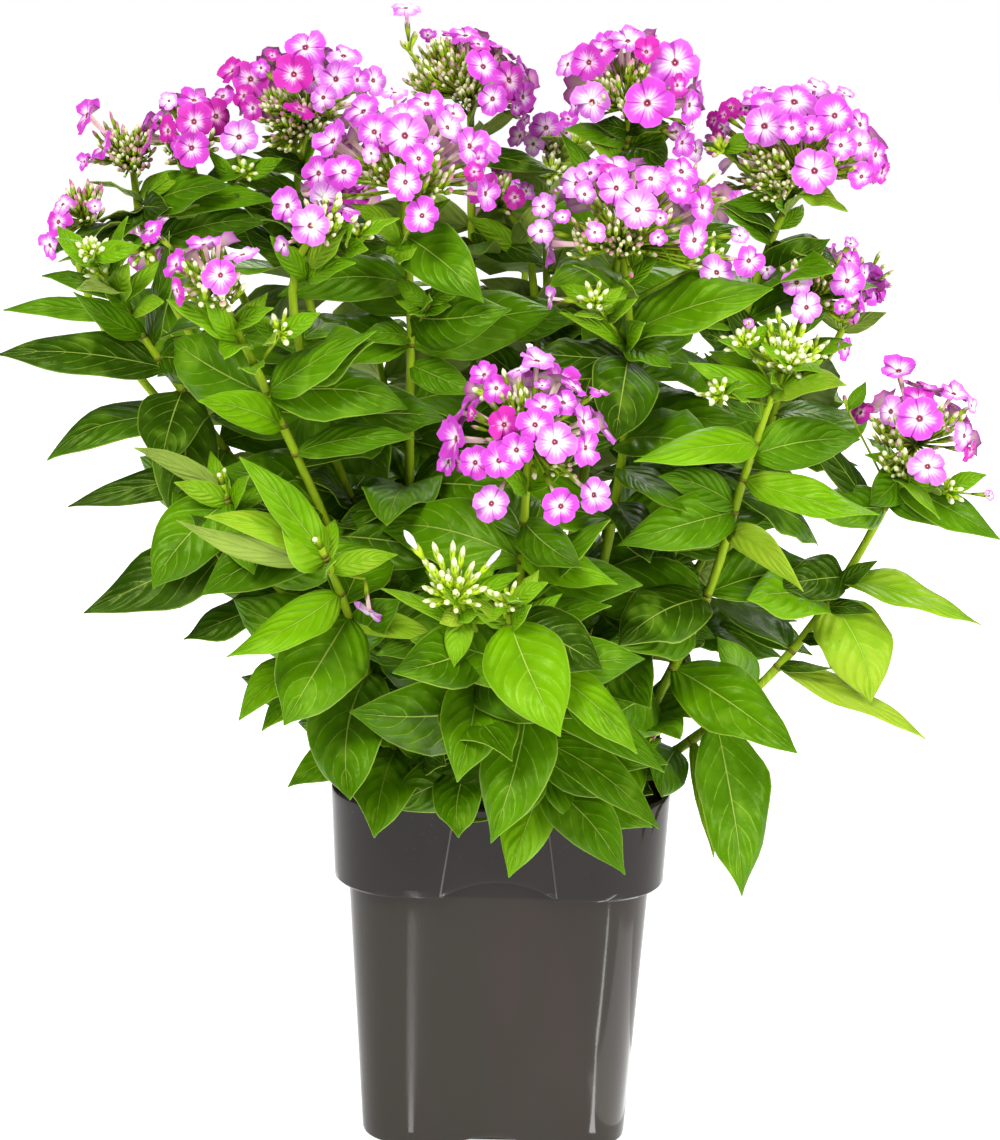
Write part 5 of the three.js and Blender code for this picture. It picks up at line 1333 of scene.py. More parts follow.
@dataclass
class Container:
    """The square pot: a tapering body, a wider collar with a sunk panel in each face, a foot."""

    height: float = 195.0
    foot: tuple[float, float] = (70.0, 22.0)  # half width, corner radius
    shoulder: tuple[float, float] = (78.5, 30.0)
    collar: tuple[float, float] = (86.0, 36.0)
    rim: tuple[float, float] = (88.0, 38.0)
    collar_bottom: float = 145.0
    ledge: float = 155.0
    wall: float = 2.0
    floor: float = 3.0
    arch_rise: float = 9.0
    arch_half: float = 29.5
    panel_top: float = 22.5
    panel_depth: float = 1.1
    notch_half: float = 23.0
    notch_rise: float = 5.0
    drain_radius: float = 6.0
    drain_from_centre: float = 44.0
    crease: float = 0.9
    body_rings: tuple[float, ...] = (10, 25, 50, 80, 110, 130, 140)
    # Heights on the collar, and the share of the arch's rise that is left there.
    collar_rings: tuple[tuple[float, float], ...] = ((150, 0.9), (158, 0.5), (168, 0.2), (180, 0),
                                                     (189, 0))
    rim_bottom: float = 190.2
    arc_steps: int = 10
    plastic: MouldedPlastic = field(default_factory=MouldedPlastic)

    @property
    def side_places(self) -> list[float]:
        """Where a face has columns, as shares of the panel's half width; 9 is the flat's end."""
        return [-9, -8.6, -1.01, -1, -0.75, -0.5, -0.25, 0, 0.25, 0.5, 0.75, 1, 1.01, 8.6, 9]

    def panel_half(self, z: float) -> float:
        """Half the width of the panel, and of the plain part below it, at a height.

        Args:
            z: The height.

        Returns:
            Half the width.
        """
        if z < self.collar_bottom:
            return lerp(self.notch_half, self.arch_half, max(z, 0) / self.collar_bottom)
        share = (z - self.collar_bottom) / (self.height - self.collar_bottom)
        return lerp(self.arch_half, self.panel_top, share)

    def spot(self, column: int, half: float, corner: float, z: float, arch: float,
             sink: float) -> Point:
        """One point of a ring round the pot.

        Args:
            column: Which column.
            half: Half the ring's width across the flats.
            corner: Its corner radius.
            z: Its height.
            arch: How far the arch lifts it in the middle of a face.
            sink: How far the panel lies in.

        Returns:
            The point.
        """
        places = self.side_places
        per_side = len(places) - 1 + self.arc_steps
        side, step = divmod(column, per_side)
        flat = half - corner
        panel = self.panel_half(z)
        if step < len(places):
            share = places[step]
            x = flat * share / 9 if abs(share) > 2 else share * panel
            if abs(share) == 1.01:
                x = math.copysign(panel + self.crease, share)
            rise = max(0.0, 1 - abs(x) / panel)
            y = -half + (sink if abs(share) <= 1 else 0)
            z += arch * rise * (2 - rise)
        else:
            angle = math.radians(-90 + 90 * (step - len(places) + 1) / self.arc_steps)
            x = flat + corner * math.cos(angle)
            y = -flat + corner * math.sin(angle)
        cos, sin = math.cos(side * math.pi / 2), math.sin(side * math.pi / 2)
        return (x * cos - y * sin, x * sin + y * cos, z)

    def rings(self) -> list[tuple[float, float, float, float, float]]:
        """The rings from the floor's underside up outside, over the rim and down inside.

        Returns:
            Each ring as half width, corner radius, height, arch and sink.
        """
        (fh, fc), (sh, sc), (ch, cc), (rh, rc) = self.foot, self.shoulder, self.collar, self.rim
        low, top, wall = self.collar_bottom, self.height, self.wall
        notch, arch, sunk = self.notch_rise, self.arch_rise, self.panel_depth

        def body(z: float) -> tuple[float, float]:
            """Half width and corner radius of the body at a height."""
            share = z / (low - 4)
            return lerp(fh, sh, share), lerp(fc, sc, share)

        def upper(z: float) -> tuple[float, float]:
            """Half width and corner radius of the collar at a height."""
            share = (z - low - 2) / (top - low - 4)
            return lerp(ch, rh, share), lerp(cc, rc, share)

        rows = [(fh - 5, fc - 5, 2.0, 0, 0), (fh - 3.2, fc - 3.2, 1.2, notch * 0.9, 0),
                (fh - 2.4, fc - 2.4, 0.2, notch, 0), (fh - 0.7, fc, 0.0, notch, 0),
                (fh - 0.1, fc, 0.8, notch, 0), (*body(3), 3.0, notch, 0)]
        rows += [(*body(z), z, 0, 0) for z in self.body_rings]
        rows += [(*body(low - 0.4), low - 0.4, arch, 0), (ch - 1.8, cc, low, arch, sunk),
                 (ch - 0.7, cc, low + 0.2, arch, sunk), (ch, cc, low + 1.4, arch, sunk)]
        rows += [(*upper(z), z, arch * share, sunk) for z, share in self.collar_rings]
        plain = [(*upper(self.rim_bottom), self.rim_bottom), (rh - 0.05, rc, top - 2.2),
                 (rh - 0.15, rc, top - 1), (rh - 0.6, rc, top - 0.25), (rh - 1.1, rc - 0.5, top),
                 (rh - wall + 0.3, rc - wall, top - 0.2), (rh - wall, rc - wall, top - 0.9),
                 (ch - wall, cc - wall, self.ledge + 1), (sh - wall, sc - wall, self.ledge),
                 (fh - wall, fc - wall, self.floor)]
        return rows + [(*row, 0, 0) for row in plain]

    def build(self) -> bpy.types.Object:
        """Builds the pot with its drain holes.

        Returns:
            The piece.
        """
        rows = self.rings()
        columns = 4 * (len(self.side_places) - 1 + self.arc_steps)

        def place(across: float, up: float) -> Point:
            """Where a point of the flat grid goes."""
            return self.spot(round(across * columns) % columns, *rows[round(up * (len(rows) - 1))])

        bm = bent_grid(columns, len(rows) - 1, place)
        self._close(bm, 2.0, 1)
        self._close(bm, self.floor, -1)
        bmesh.ops.bridge_loops(bm, edges=border(bm))
        shape = Shape("container", bm, lambda co: (co.x, co.z), sharp=35)
        heap = Heap()
        heap.add(shape, shape.points)
        return heap.piece("container", [self.plastic.build()])

    def _close(self, bm: bmesh.types.BMesh, z: float, side: int) -> None:
        """Fills the floor at a height, round four drain holes.

        Args:
            bm: The pot's mesh.
            z: The height.
            side: 1 where it looks up, -1 down.
        """
        loops = [edge for edge in border(bm) if all(abs(v.co.z - z) < 0.3 for v in edge.verts)]
        for turn in (45, 135, 225, 315):
            angle = math.radians(turn)
            centre = Matrix.Translation((self.drain_from_centre * math.cos(angle),
                                         self.drain_from_centre * math.sin(angle), z))
            ring = bmesh.ops.create_circle(bm, segments=16, radius=self.drain_radius,
                                           matrix=centre)
            loops += list({e for v in ring["verts"] for e in v.link_edges})
        bmesh.ops.triangle_fill(bm, use_beauty=True, edges=loops, normal=(0, 0, side))


@dataclass
class PottingSoil:
    """Bark and peat that fills the container: a lumpy top with loose chips on it."""

    top: float = 183.0
    half: float = 83.7
    corner: float = 33.7
    # Heights and half widths down the plug's side: past the ledge and to the floor.
    skirt: tuple[tuple[float, float], ...] = ((157, 83.7), (155.4, 76.0), (3.4, 67.5))
    cells: int = 34
    chips: int = 230
    chip_field: float = 150.0
    bark: BarkSoil = field(default_factory=BarkSoil)

    def edge_scale(self, x: float, y: float) -> float:
        """How far a point of the square is drawn in to fit the rounded square.

        Args:
            x: Its place across, from -1 to 1.
            y: Its place back, from -1 to 1.

        Returns:
            The scale.
        """
        reach = max(abs(x), abs(y))
        if reach < 1e-9:
            return 1.0
        dx, dy = abs(x) / reach * self.half, abs(y) / reach * self.half
        flat = self.half - self.corner
        if min(dx, dy) <= flat:
            return 1.0
        # Where the ray meets the corner's arc.
        length = math.hypot(dx, dy)
        ux, uy = dx / length, dy / length
        along = (ux + uy) * flat
        meet = along + math.sqrt(along * along - 2 * flat * flat + self.corner ** 2)
        return meet / length

    def build(self) -> bpy.types.Object:
        """Builds the plug of soil and its chips.

        Returns:
            The piece.
        """

        def place(a: float, b: float) -> Point:
            """Where a point of the flat grid goes."""
            x, y = 2 * a - 1, 2 * b - 1
            scale = self.edge_scale(x, y) * self.half
            i, j = round(a * self.cells), round(b * self.cells)
            lump = 3.2 * (chance(i, j, 1) - 0.5) + 2 * math.sin(x * 4.1) * math.cos(y * 3.3)
            fall = 4 * max(abs(x), abs(y)) ** 4
            return (x * scale, y * scale, self.top - 1 + lump - fall)

        bm = bent_grid(self.cells, self.cells, place)
        before = self.half
        for z, half in self.skirt:
            grow, before = half / before, half
            for vert in extruded(bm, border(bm))[0]:
                vert.co = (vert.co.x * grow, vert.co.y * grow, z)
        bmesh.ops.contextual_create(bm, geom=border(bm))
        plug = Shape("soil_plug", bm, lambda co: (co.x, co.y))
        chip = chip_shape()
        heap = Heap()
        heap.add(plug, plug.points, 0.15)
        for i in range(self.chips):
            x, y = (self.chip_field * (share - 0.5) for share in draws(2, i, 1, 1))
            size = (3 + 6 * chance(i, 2, 1) ** 2, 2 + 2.4 * chance(i, 2, 2), 1.3)
            turn = Euler((0.9 * (chance(i, 3, 1) - 0.5), 0.9 * (chance(i, 3, 2) - 0.5),
                          math.tau * chance(i, 3, 3))).to_matrix()
            heap.stand(chip, size, np.array(turn), (x, y, self.top - 0.2 + 2 * chance(i, 4, 4)),
                       0.4 + 0.6 * chance(i, 5, 5))
        return heap.piece("bark_soil", [self.bark.build()])


# ---------- Shoots ----------


class StalkPath:
    """The cubic curve through a shoot's four points, as in the solids."""

    def __init__(self, route: Sequence[Point]) -> None:
        """Works out the curve's control points and its length table.

        Args:
            route: The shoot's four points.
        """
        p = [np.array(point, float) for point in route]
        self.controls = (p[0], (-5 * p[0] + 18 * p[1] - 9 * p[2] + 2 * p[3]) / 6,
                         (2 * p[0] - 9 * p[1] + 18 * p[2] - 5 * p[3]) / 6, p[3])
        self.table = np.linspace(0, 1, 201)
        line = np.array([self.at(t) for t in self.table])
        steps = np.linalg.norm(np.diff(line, axis=0), axis=1)
        self.lengths = np.concatenate([[0], np.cumsum(steps)])
        self.rings = np.array([self.along(k / 5) for k in range(6)])

    def at(self, t: float) -> Array:
        """The point at the curve's own parameter.

        Args:
            t: The parameter, from 0 to 1.

        Returns:
            The point.
        """
        a, b, c, d = self.controls
        s = 1 - t
        return s ** 3 * a + 3 * s * s * t * b + 3 * s * t * t * c + t ** 3 * d

    def along(self, share: float) -> Array:
        """The point at a share of the length."""
        return self.at(float(np.interp(share * self.lengths[-1], self.lengths, self.table)))

    def way(self, share: float) -> Vector:
        """The direction at a share of the length."""
        low, high = max(share - 0.005, 0), min(share + 0.005, 1)
        return Vector(self.along(high) - self.along(low)).normalized()

    def root(self, share: float) -> Vector:
        """Where a leaf starts: the point on the stalk's straight stretches, as in the solids.

        Args:
            share: The share of the length.

        Returns:
            The point.
        """
        step = min(int(share * 5), 4)
        return Vector(self.rings[step] + (self.rings[step + 1] - self.rings[step])
                      * (share * 5 - step))


def face_way(along: Vector, light: Vector, roll: float) -> Vector:
    """The way a leaf's face looks: to the light, square to its rib, and rolled.

    Args:
        along: The way along its rib.
        light: The way the light comes from.
        roll: How far it is rolled about its rib, in degrees.

    Returns:
        The direction.
    """
    face = light - along * light.dot(along)
    if face.length < 0.25:
        face = UP - along * along.z
    return rotated(face.normalized(), along, math.radians(roll))


@dataclass
class Blade:
    """One leaf to grow: where it is and how it is shaped and coloured."""

    base: Vector
    tip: Vector
    width: float
    arch: float
    roll: float
    tone: float
    seed: int
    sway: float = 0.24  # this and the curl are shares of its length
    curl: float = 0.22
    ripple: float = 0.065  # this and the swell are shares of its width
    swell: float = 0.05
    thickness: float = 0.22
    stub: tuple[float, float] = (1.1, 0.25)  # the least half width, near the base and the tip

    @staticmethod
    def seeded(number: int, group: int, place: int) -> int:
        """What a leaf's draws start from: its stem's number, its group and its place in it."""
        return number * 40 + group + place

    def bent(self, aside: float, upwards: float, share: float) -> "Blade":
        """The same leaf turned about its base by a bend, as in the solids.

        Args:
            aside: Degrees about the upright.
            upwards: Degrees up.
            share: The share of its length that it keeps.

        Returns:
            The leaf.
        """
        reach = self.tip - self.base
        along = reach.normalized()
        side = (self.base + self.tip) / 2
        side = Vector((side.x * 0.4, side.y, 0)).normalized()
        across = face_way(along, UP + side * 0.75, 0).cross(along)
        reach = rotated(rotated(reach, across, math.radians(-upwards)), UP, math.radians(aside))
        return replace(self, tip=self.base + reach * share)

    def faces(self) -> tuple[Array, Array]:
        """The ways across the leaf and up through its face, which turns out to the light.

        Returns:
            The two directions.
        """
        along = (self.tip - self.base).normalized()
        outside = (self.base + self.tip) / 2
        outside = Vector((outside.x * 0.22, outside.y - 40, 0)).normalized()
        light = UP + outside * lerp(0.8, 2.2, chance(self.seed, 8, 11))
        face = face_way(along, light, self.roll + 36 * (chance(self.seed, 9, 11) - 0.5))
        return np.array(face.cross(along)), np.array(face)

    def points(self, shape: Shape) -> Array:
        """Where the leaf shape's points go.

        Args:
            shape: The leaf shape.

        Returns:
            The places.
        """
        across, up = self.faces()
        base, tip = np.array(self.base), np.array(self.tip)
        length = float(np.linalg.norm(tip - base))
        draw = [chance(self.seed, k, 11) for k in range(8)]
        u, v, side = shape.points.T
        bow = (base + tip) / 2 + up * (self.arch + 0.05 * draw[7]) * length
        bow += across * (draw[5] - 0.5) * self.sway * length
        s = 1 - v
        rib = (s * s)[:, None] * base + (2 * s * v)[:, None] * bow + (v * v)[:, None] * tip
        way = 2 * s[:, None] * (bow - base) + 2 * v[:, None] * (tip - bow)
        way /= np.linalg.norm(way, axis=1)[:, None]
        face = np.cross(way, across)
        face /= np.linalg.norm(face, axis=1)[:, None]
        half = self.width / 2 * leaf_outline(v)
        half = np.maximum(half, np.where(v < 0.5, *self.stub))
        # Ripples along the edge, stronger outwards.
        wave = v * (9 + 7 * draw[0]) + draw[1] * 6 + np.sign(u) * (1 + 2 * draw[2])
        ripple = self.ripple * self.width * np.abs(u) ** 2.2 * np.sin(wave) * np.sin(np.pi * v)
        fold = (0.12 + 0.34 * draw[3]) * (1.25 - 0.9 * v)
        drop = (0.12 + 0.30 * draw[4]) * v
        lift = half * (fold * np.abs(u) - (drop + 0.10) * u * u) + ripple
        # Broad uneven waves over the blade.
        swell = np.sin(v * (7 + 4 * draw[1]) + u * 2.1 + draw[2] * 9) * np.sin(np.pi * v)
        lift += self.swell * self.width * swell * np.abs(u)
        twist = (draw[5] - 0.5) * 0.7 * v * v
        tip_curl = (draw[6] - 0.75) * self.curl * length * np.clip(v - 0.6, 0, 1) ** 2 * 4
        flat = half * u
        out_across = flat * np.cos(twist) - lift * np.sin(twist)
        out_up = flat * np.sin(twist) + lift * np.cos(twist) + tip_curl
        thick = side * (self.thickness + 0.1 * (1 - np.abs(u)))
        return rib + out_across[:, None] * across + (out_up + thick)[:, None] * face


@dataclass
class Shapes:
    """The small shapes that the plant repeats."""

    leaf: Shape = field(default_factory=lambda: leaf_shape(6, 16))
    inner_leaf: Shape = field(default_factory=lambda: leaf_shape(4, 9))
    small_leaf: Shape = field(default_factory=lambda: leaf_shape(4, 6))
    stalk: Shape = field(default_factory=lambda: stalk_shape(8, 22))
    joint: Shape = field(default_factory=lambda: stalk_shape(8, 1))
    twig: Shape = field(default_factory=lambda: stalk_shape(4, 2))
    floret: Shape = field(default_factory=floret_shape)
    bud: Shape = field(default_factory=lambda: profile_shape(
        "bud_shape", 6, ((0.42, 0), (0.62, 0.4), (1.0, 0.66), (0.75, 0.86), (0.06, 1.0)), 1.2))
    calyx: Shape = field(default_factory=lambda: profile_shape(
        "calyx_shape", 10, ((0.42, 0), (1.0, 1.0)), teeth=0.7))


@dataclass(frozen=True)
class Dress:
    """The materials of the plant."""

    stalk: bpy.types.Material
    blade: bpy.types.Material
    petal: bpy.types.Material
    bud: bpy.types.Material


@dataclass(frozen=True)
class Habit:
    """How leaves by rule stand on a stem, in degrees and millimetres."""

    seed: int
    turn: float
    sway: float  # how far the heading strays
    rise: float  # at the stem's foot
    climb: float  # how much more it rises at the stem's top
    tilt: float  # how far the rise strays
    length: float
    extra: float  # how much longer it is half way up
    vary: float  # how far the length strays

    def leaf(self, number: int, pair: int, side: int, at: float
             ) -> tuple[Vector, float, list[float]]:
        """One leaf of a pair.

        Args:
            number: The stem's number.
            pair: The pair's number.
            side: Which of the two leaves, 0 or 1.
            at: The share of the stalk at which they stand.

        Returns:
            The way it points, its length, and draws for its shape.
        """
        draw = draws(7, number + self.seed, 2 * pair + side)
        heading = math.radians(number * 137.508 + self.turn + pair * 90 + side * 180
                               + self.sway * (draw[1] - 0.5))
        rise = math.radians(self.rise + self.climb * at + self.tilt * (draw[2] - 0.5))
        length = self.length + self.extra * math.sin(math.pi * at) + self.vary * (draw[3] - 0.5)
        return way_at(heading, rise), length, draw


@dataclass
class LeafRule:
    """The pairs of leaves that a stem grows by rule, as in the solids, and its finer ones."""

    first: float = 0.24
    last: float = 0.9
    slimness: float = 0.45
    reach: float = 0.07
    room: float = math.radians(60)
    main: Habit = Habit(1, 0, 40, -22, 46, 20, 62, 24, 12)
    finer: Habit = Habit(50, 45, 50, -24, 40, 24, 50, 22, 16)
    finer_first: float = 0.12
    towards_front: float = 0.8  # past this, a finer leaf would point at the front and is left out
    under_head: float = 0.955

    def height(self, pair: int, pairs: int) -> float:
        """The share of the stalk at which a pair by rule stands."""
        return lerp(self.first, self.last, (pair + 0.5) / pairs)

    def solid_leaves(self, shoot: Shoot, number: int, path: StalkPath) -> list[Blade]:
        """The leaves by rule that the solids have.

        Args:
            shoot: The shoot.
            number: Its number.
            path: Its stalk's path.

        Returns:
            The leaves.
        """
        blades = []
        for pair, side in product(range(shoot.rule), (0, 1)):
            at = self.height(pair, shoot.rule)
            base = path.root(at)
            way, length, draw = self.main.leaf(number, pair, side, at)
            if not self._taken(shoot, at, base, way):
                blades.append(Blade(base, base + way * length, length * self.slimness,
                                    0.08 + 0.06 * draw[4], 24 * (draw[5] - 0.5),
                                    0.16 + 0.34 * at + 0.16 * (draw[3] - 0.5),
                                    Blade.seeded(number, 0, 2 * pair + side)))
        return blades

    def kept_in(self, blade: Blade) -> Blade:
        """A leaf turned about the upright until it stays in the crown's outline.

        Args:
            blade: The leaf.

        Returns:
            The leaf as turned.
        """
        for aside in (0, 20, -20, 40, -40, 60, -60):
            tried = blade.bent(aside, 0, 1)
            reach = tried.tip - tried.base
            if self._room(tried.base, reach.normalized(), reach.length):
                return tried
        return blade

    @staticmethod
    def _room(base: Vector, way: Vector, length: float) -> float:
        """How long a leaf may be to stay in the crown's outline, or 0 where it has no place.

        Args:
            base: Where it starts.
            way: The way it points.
            length: The length it asks for.

        Returns:
            The length.
        """
        across = way.cross(UP).normalized() * length * 0.2
        for share in (1, 0.85, 0.7):
            tip = base + way * length * share
            middle = base + way * length * share * 0.5
            if all(within_crown(spot) for spot in (tip, middle, middle + across, middle - across)):
                return length * share
        return 0

    def _taken(self, shoot: Shoot, at: float, base: Vector, way: Vector) -> bool:
        """Whether a listed leaf has this place.

        Args:
            shoot: The shoot.
            at: The place on the stalk.
            base: Where the leaf starts.
            way: The way it points.

        Returns:
            Whether one has.
        """
        for hand in shoot.leaves:
            reach = Vector(hand.tip) - base
            if abs(hand.at - at) < self.reach and reach.xy.angle(way.xy) < self.room:
                return True
        return False

    def finer_leaves(self, shoot: Shoot, number: int, path: StalkPath) -> list[Blade]:
        """Leaves between the solids' pairs, and small ones under the head.

        Args:
            shoot: The shoot.
            number: Its number.
            path: Its stalk's path.

        Returns:
            The leaves.
        """
        blades = []
        levels = 6 if shoot.rule else 4
        for level, side in product(range(levels), (0, 1)):
            at = lerp(self.finer_first, self.last, (level + 0.5) / levels)
            base = path.root(at)
            way, length, draw = self.finer.leaf(number, level, side, at)
            length = self._room(base, way, length)
            if length == 0 or way.dot((FRONT - base).normalized()) > self.towards_front:
                continue
            blades.append(Blade(base, base + way * length, length * lerp(0.46, 0.56, draw[4]),
                                0.06 + 0.1 * draw[4], 40 * (draw[5] - 0.5),
                                0.06 + 0.36 * at + 0.2 * (draw[6] - 0.5),
                                Blade.seeded(number, 1000, 2 * level + side)))
        for k in range(4):
            draw = draws(4, number + 90, k)
            base = path.root(self.under_head - 0.02 * (k // 2))
            way = way_at(number + k * math.pi / 2 + 0.5 * (draw[0] - 0.5),
                         math.radians(18 + 30 * draw[1]))
            length = 24 + 14 * draw[2]
            blades.append(Blade(base, base + way * length, length * 0.36, 0.08, 0,
                                0.55 + 0.3 * draw[3], Blade.seeded(number, 2000, k)))
        return blades


@dataclass
class LeafyShoot:
    """One stem of the plant with its leaves, its bud stalks and its buds."""

    shoot: Shoot
    number: int
    shapes: Shapes
    dress: Dress
    radius: float = 2.9
    tip_radius: float = 1.9
    joint_swell: float = 1.15
    joint_height: float = 2.0
    neck: float = 6.3  # from the stalk's top to the head's middle
    floret_growth: float = 1.04
    calyx: tuple[float, float, float] = (1.5, 1.5, 6.0)
    petal_bend: float = 0.55  # how unlike the petals of a floret are
    petal_reach: float = 0.22
    petal_wave: float = 0.07
    bud_room: float = 13.0  # the area of the head that a bud takes up
    fillers: float = 2.2  # buds among the florets, for each floret of the solid
    fresh_length: float = 15.0  # a longer bud is about to open
    rule: LeafRule = field(default_factory=LeafRule)

    def __post_init__(self) -> None:
        """Works out the stalk's path and starts the piece's meshes."""
        self.path = StalkPath(self.shoot.route)
        self.green = Heap()
        self.cream = Heap()

    def stalk(self) -> None:
        """Adds the stalk, a little thicker where leaves join it."""
        x, y, z = self.shapes.stalk.points.T
        places = np.array([self.path.along(share) for share in np.clip(z, 0, 1)])
        ways = np.array([self.path.way(share) for share in np.clip(z, 0, 1)])
        side = np.array([1.0, 0, 0]) - ways * ways[:, :1]
        side /= np.linalg.norm(side, axis=1)[:, None]
        other = np.cross(ways, side)
        radius = self.radius + (self.tip_radius - self.radius) * z
        radius = radius * (1 + 0.12 * np.cos(z * 40) ** 8)
        self.green.add(self.shapes.stalk,
                       places + side * (x * radius)[:, None] + other * (y * radius)[:, None])

    def joint(self, share: float) -> None:
        """Adds the swollen ring at a share of the stalk, where leaves join it.

        Args:
            share: The share of the stalk.
        """
        way = self.path.way(share)
        radius = lerp(self.radius, self.tip_radius, share) * self.joint_swell
        ring = self.shapes.joint.points * np.array([radius, radius, self.joint_height])
        self.green.add(self.shapes.joint,
                       ring @ facing(way).T + self.path.along(share) - np.array(way), 0.16)

    def leaves(self) -> int:
        """Adds every leaf, and the rings where those of the solids join the stalk.

        Returns:
            How many leaves there are.
        """
        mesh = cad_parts[f"stem_{self.shoot.name}"].data
        tree = KDTree(len(mesh.vertices))
        for i, vert in enumerate(mesh.vertices):
            tree.insert(vert.co, i)
        tree.balance()
        placed = [self._placed(leaf, 500 + k) for k, leaf in enumerate(self.shoot.leaves)]
        large = [self._as_grown(blade, tree) for blade in placed]
        large += [self.rule.kept_in(self._as_grown(blade, tree))
                  for blade in self.rule.solid_leaves(self.shoot, self.number, self.path)]
        large += [self._placed(leaf, 700 + k)
                  for k, leaf in enumerate(FINER_LEAVES.get(self.shoot.name, ()))]
        inner = self.rule.finer_leaves(self.shoot, self.number, self.path)
        for blade in large:
            self._grow(blade, self.shapes.leaf)
            self.twig(blade.base, blade.base + (blade.tip - blade.base).normalized() * 5, 1.1, 0.3)
        for share in {leaf.at for leaf in self.shoot.leaves} | {
                self.rule.height(pair, self.shoot.rule) for pair in range(self.shoot.rule)}:
            self.joint(share)
        for blade in inner:
            self._grow(blade, self.shapes.inner_leaf)
        return len(large) + len(inner)

    def _placed(self, leaf: Leaf, seed: int) -> Blade:
        """A listed leaf.

        Args:
            leaf: Its row in the tables.
            seed: What its draws start from.

        Returns:
            The leaf to grow.
        """
        tone = leaf.tone.value + 0.2 * (chance(self.number, seed, 21) - 0.5)
        return Blade(self.path.root(leaf.at), Vector(leaf.tip), leaf.width, leaf.arch, leaf.roll,
                     tone, Blade.seeded(self.number, 0, seed))

    def _grow(self, blade: Blade, shape: Shape) -> None:
        """Adds a leaf, in fewer faces where it is narrow."""
        shape = shape if blade.width > 12 else self.shapes.small_leaf
        self.green.add(shape, blade.points(shape), blade.tone)

    @staticmethod
    def _as_grown(blade: Blade, tree: KDTree) -> Blade:
        """The leaf in the bend that it took in the solids.

        Args:
            blade: The leaf.
            tree: The points of the stem's solid.

        Returns:
            The leaf as bent.
        """
        for bend in BENDS:
            tried = blade.bent(*bend)
            if tree.find(tried.tip * MM)[2] < 0.0006:
                return tried
        return blade

    def seat(self) -> tuple[Vector, Vector]:
        """The stalk's top, and the middle of the head on it."""
        top = Vector(self.path.at(1.0))
        return top, top + self.path.way(1.0) * self.neck

    def twig(self, start: Vector, end: Vector, radius: float, tone: float = 0.55) -> None:
        """Adds a thin green stalk between two points.

        Args:
            start: Where it starts.
            end: Where it ends.
            radius: Its radius.
            tone: Its tone.
        """
        reach = end - start
        self.green.stand(self.shapes.twig, (radius, radius, reach.length),
                         facing(reach.normalized()), start, tone)

    def bud(self, root: Vector, start: Vector, way: Vector, length: float, width: float,
            tone: float, green: float = 0.7) -> None:
        """Adds a bud in its calyx, with the stalklet that carries it.

        Args:
            root: Where its stalklet starts.
            start: Where the bud starts.
            way: The way it points.
            length: Its length.
            width: Its greatest radius.
            tone: How pink it is, from 0 to 1, or -1 where it is about to open and nearly white.
            green: The tone of its calyx and stalklet.
        """
        turn = facing(way, length)
        self.cream.stand(self.shapes.bud, (width, width, length), turn, start, tone)
        cup = (width * 1.05, width * 1.05, length * (0.3 if tone < 0 else 0.5))
        self.green.stand(self.shapes.calyx, cup, turn, start - way, green)
        if (start - root).length > 1:
            self.twig(root, start, 0.7, green)

    def floret(self, heap: Heap, root: Vector, centre: Vector, look: Vector, radius: float,
               cup: float, spin: float, tone: float) -> None:
        """Adds one floret with its tube, calyx and stalklet.

        Args:
            heap: The piece that its petals join.
            root: Where its stalklet starts.
            centre: The middle of its face.
            look: The way its face looks.
            radius: Its face's radius.
            cup: How far it is cupped, from 0, bent back, to 1.
            spin: How far it is turned about its own axis, in radians.
            tone: Its tone, from 0, pale, to 1, deep.
        """
        x, y, z = self.shapes.floret.points.T
        out = np.hypot(x, y)
        is_face = z > -0.5
        # Every petal bends and reaches out a little differently.
        petal = np.rint(np.arctan2(y, x) * PETALS / math.tau).astype(int) % PETALS
        bends = np.array([chance(spin * 9, k, 5) - 0.5 for k in range(PETALS)])[petal]
        reach = np.array([chance(spin * 9, k, 7) - 0.5 for k in range(PETALS)])[petal]
        dish = ((cup - 0.6) * 0.5 + bends * self.petal_bend) * out * out
        dish += self.petal_wave * np.sin(np.arctan2(y, x) * 13 + spin * 5) * out ** 3
        height = np.where(is_face, z + dish, z)
        spread = np.where(is_face, 1 + self.petal_reach * reach * out, 1)
        points = np.column_stack([x * spread, y * spread, height]) * radius
        turned = points @ facing(look, spin).T + np.array(centre)
        # The tube's foot leans back towards its root.
        way = (centre - root).normalized()
        foot = centre - way * min(radius * TUBE, (centre - root).length * 0.8)
        lean = np.array(foot - (centre - look * radius * TUBE))
        turned = np.where(is_face[:, None], turned, turned + lean)
        heap.add(self.shapes.floret, turned, min(max(tone, 0.02), 0.98))
        self.green.stand(self.shapes.calyx, self.calyx, facing(way), foot - way * 3, 0.3)
        if (foot - root).length > 3:
            self.twig(root, foot - way * 2, 0.6, 0.4)

    def bloom(self, heap: Heap, root: Vector, row: Bloom, seed: int) -> None:
        """Adds a listed floret, by its place from its root and the way it looks.

        Args:
            heap: The piece that its petals join.
            root: Where its stalklet starts.
            row: Its row in the tables.
            seed: What its draws start from.
        """
        dx, dy, dz, radius, aside, upward, tone = row
        radius *= self.floret_growth
        centre = root + Vector((dx, dy, dz))
        viewer = (FRONT - centre).normalized()
        right = UP.cross(viewer).normalized()
        ahead = math.sqrt(max(0.04, 1 - aside ** 2 - upward ** 2))
        look = viewer * ahead + right * aside + viewer.cross(right) * upward
        draw = draws(3, self.number, seed, 81)
        self.floret(heap, root, centre, look.normalized(), radius, draw[0], math.tau * draw[1],
                    tone + 0.24 * (draw[2] - 0.5))

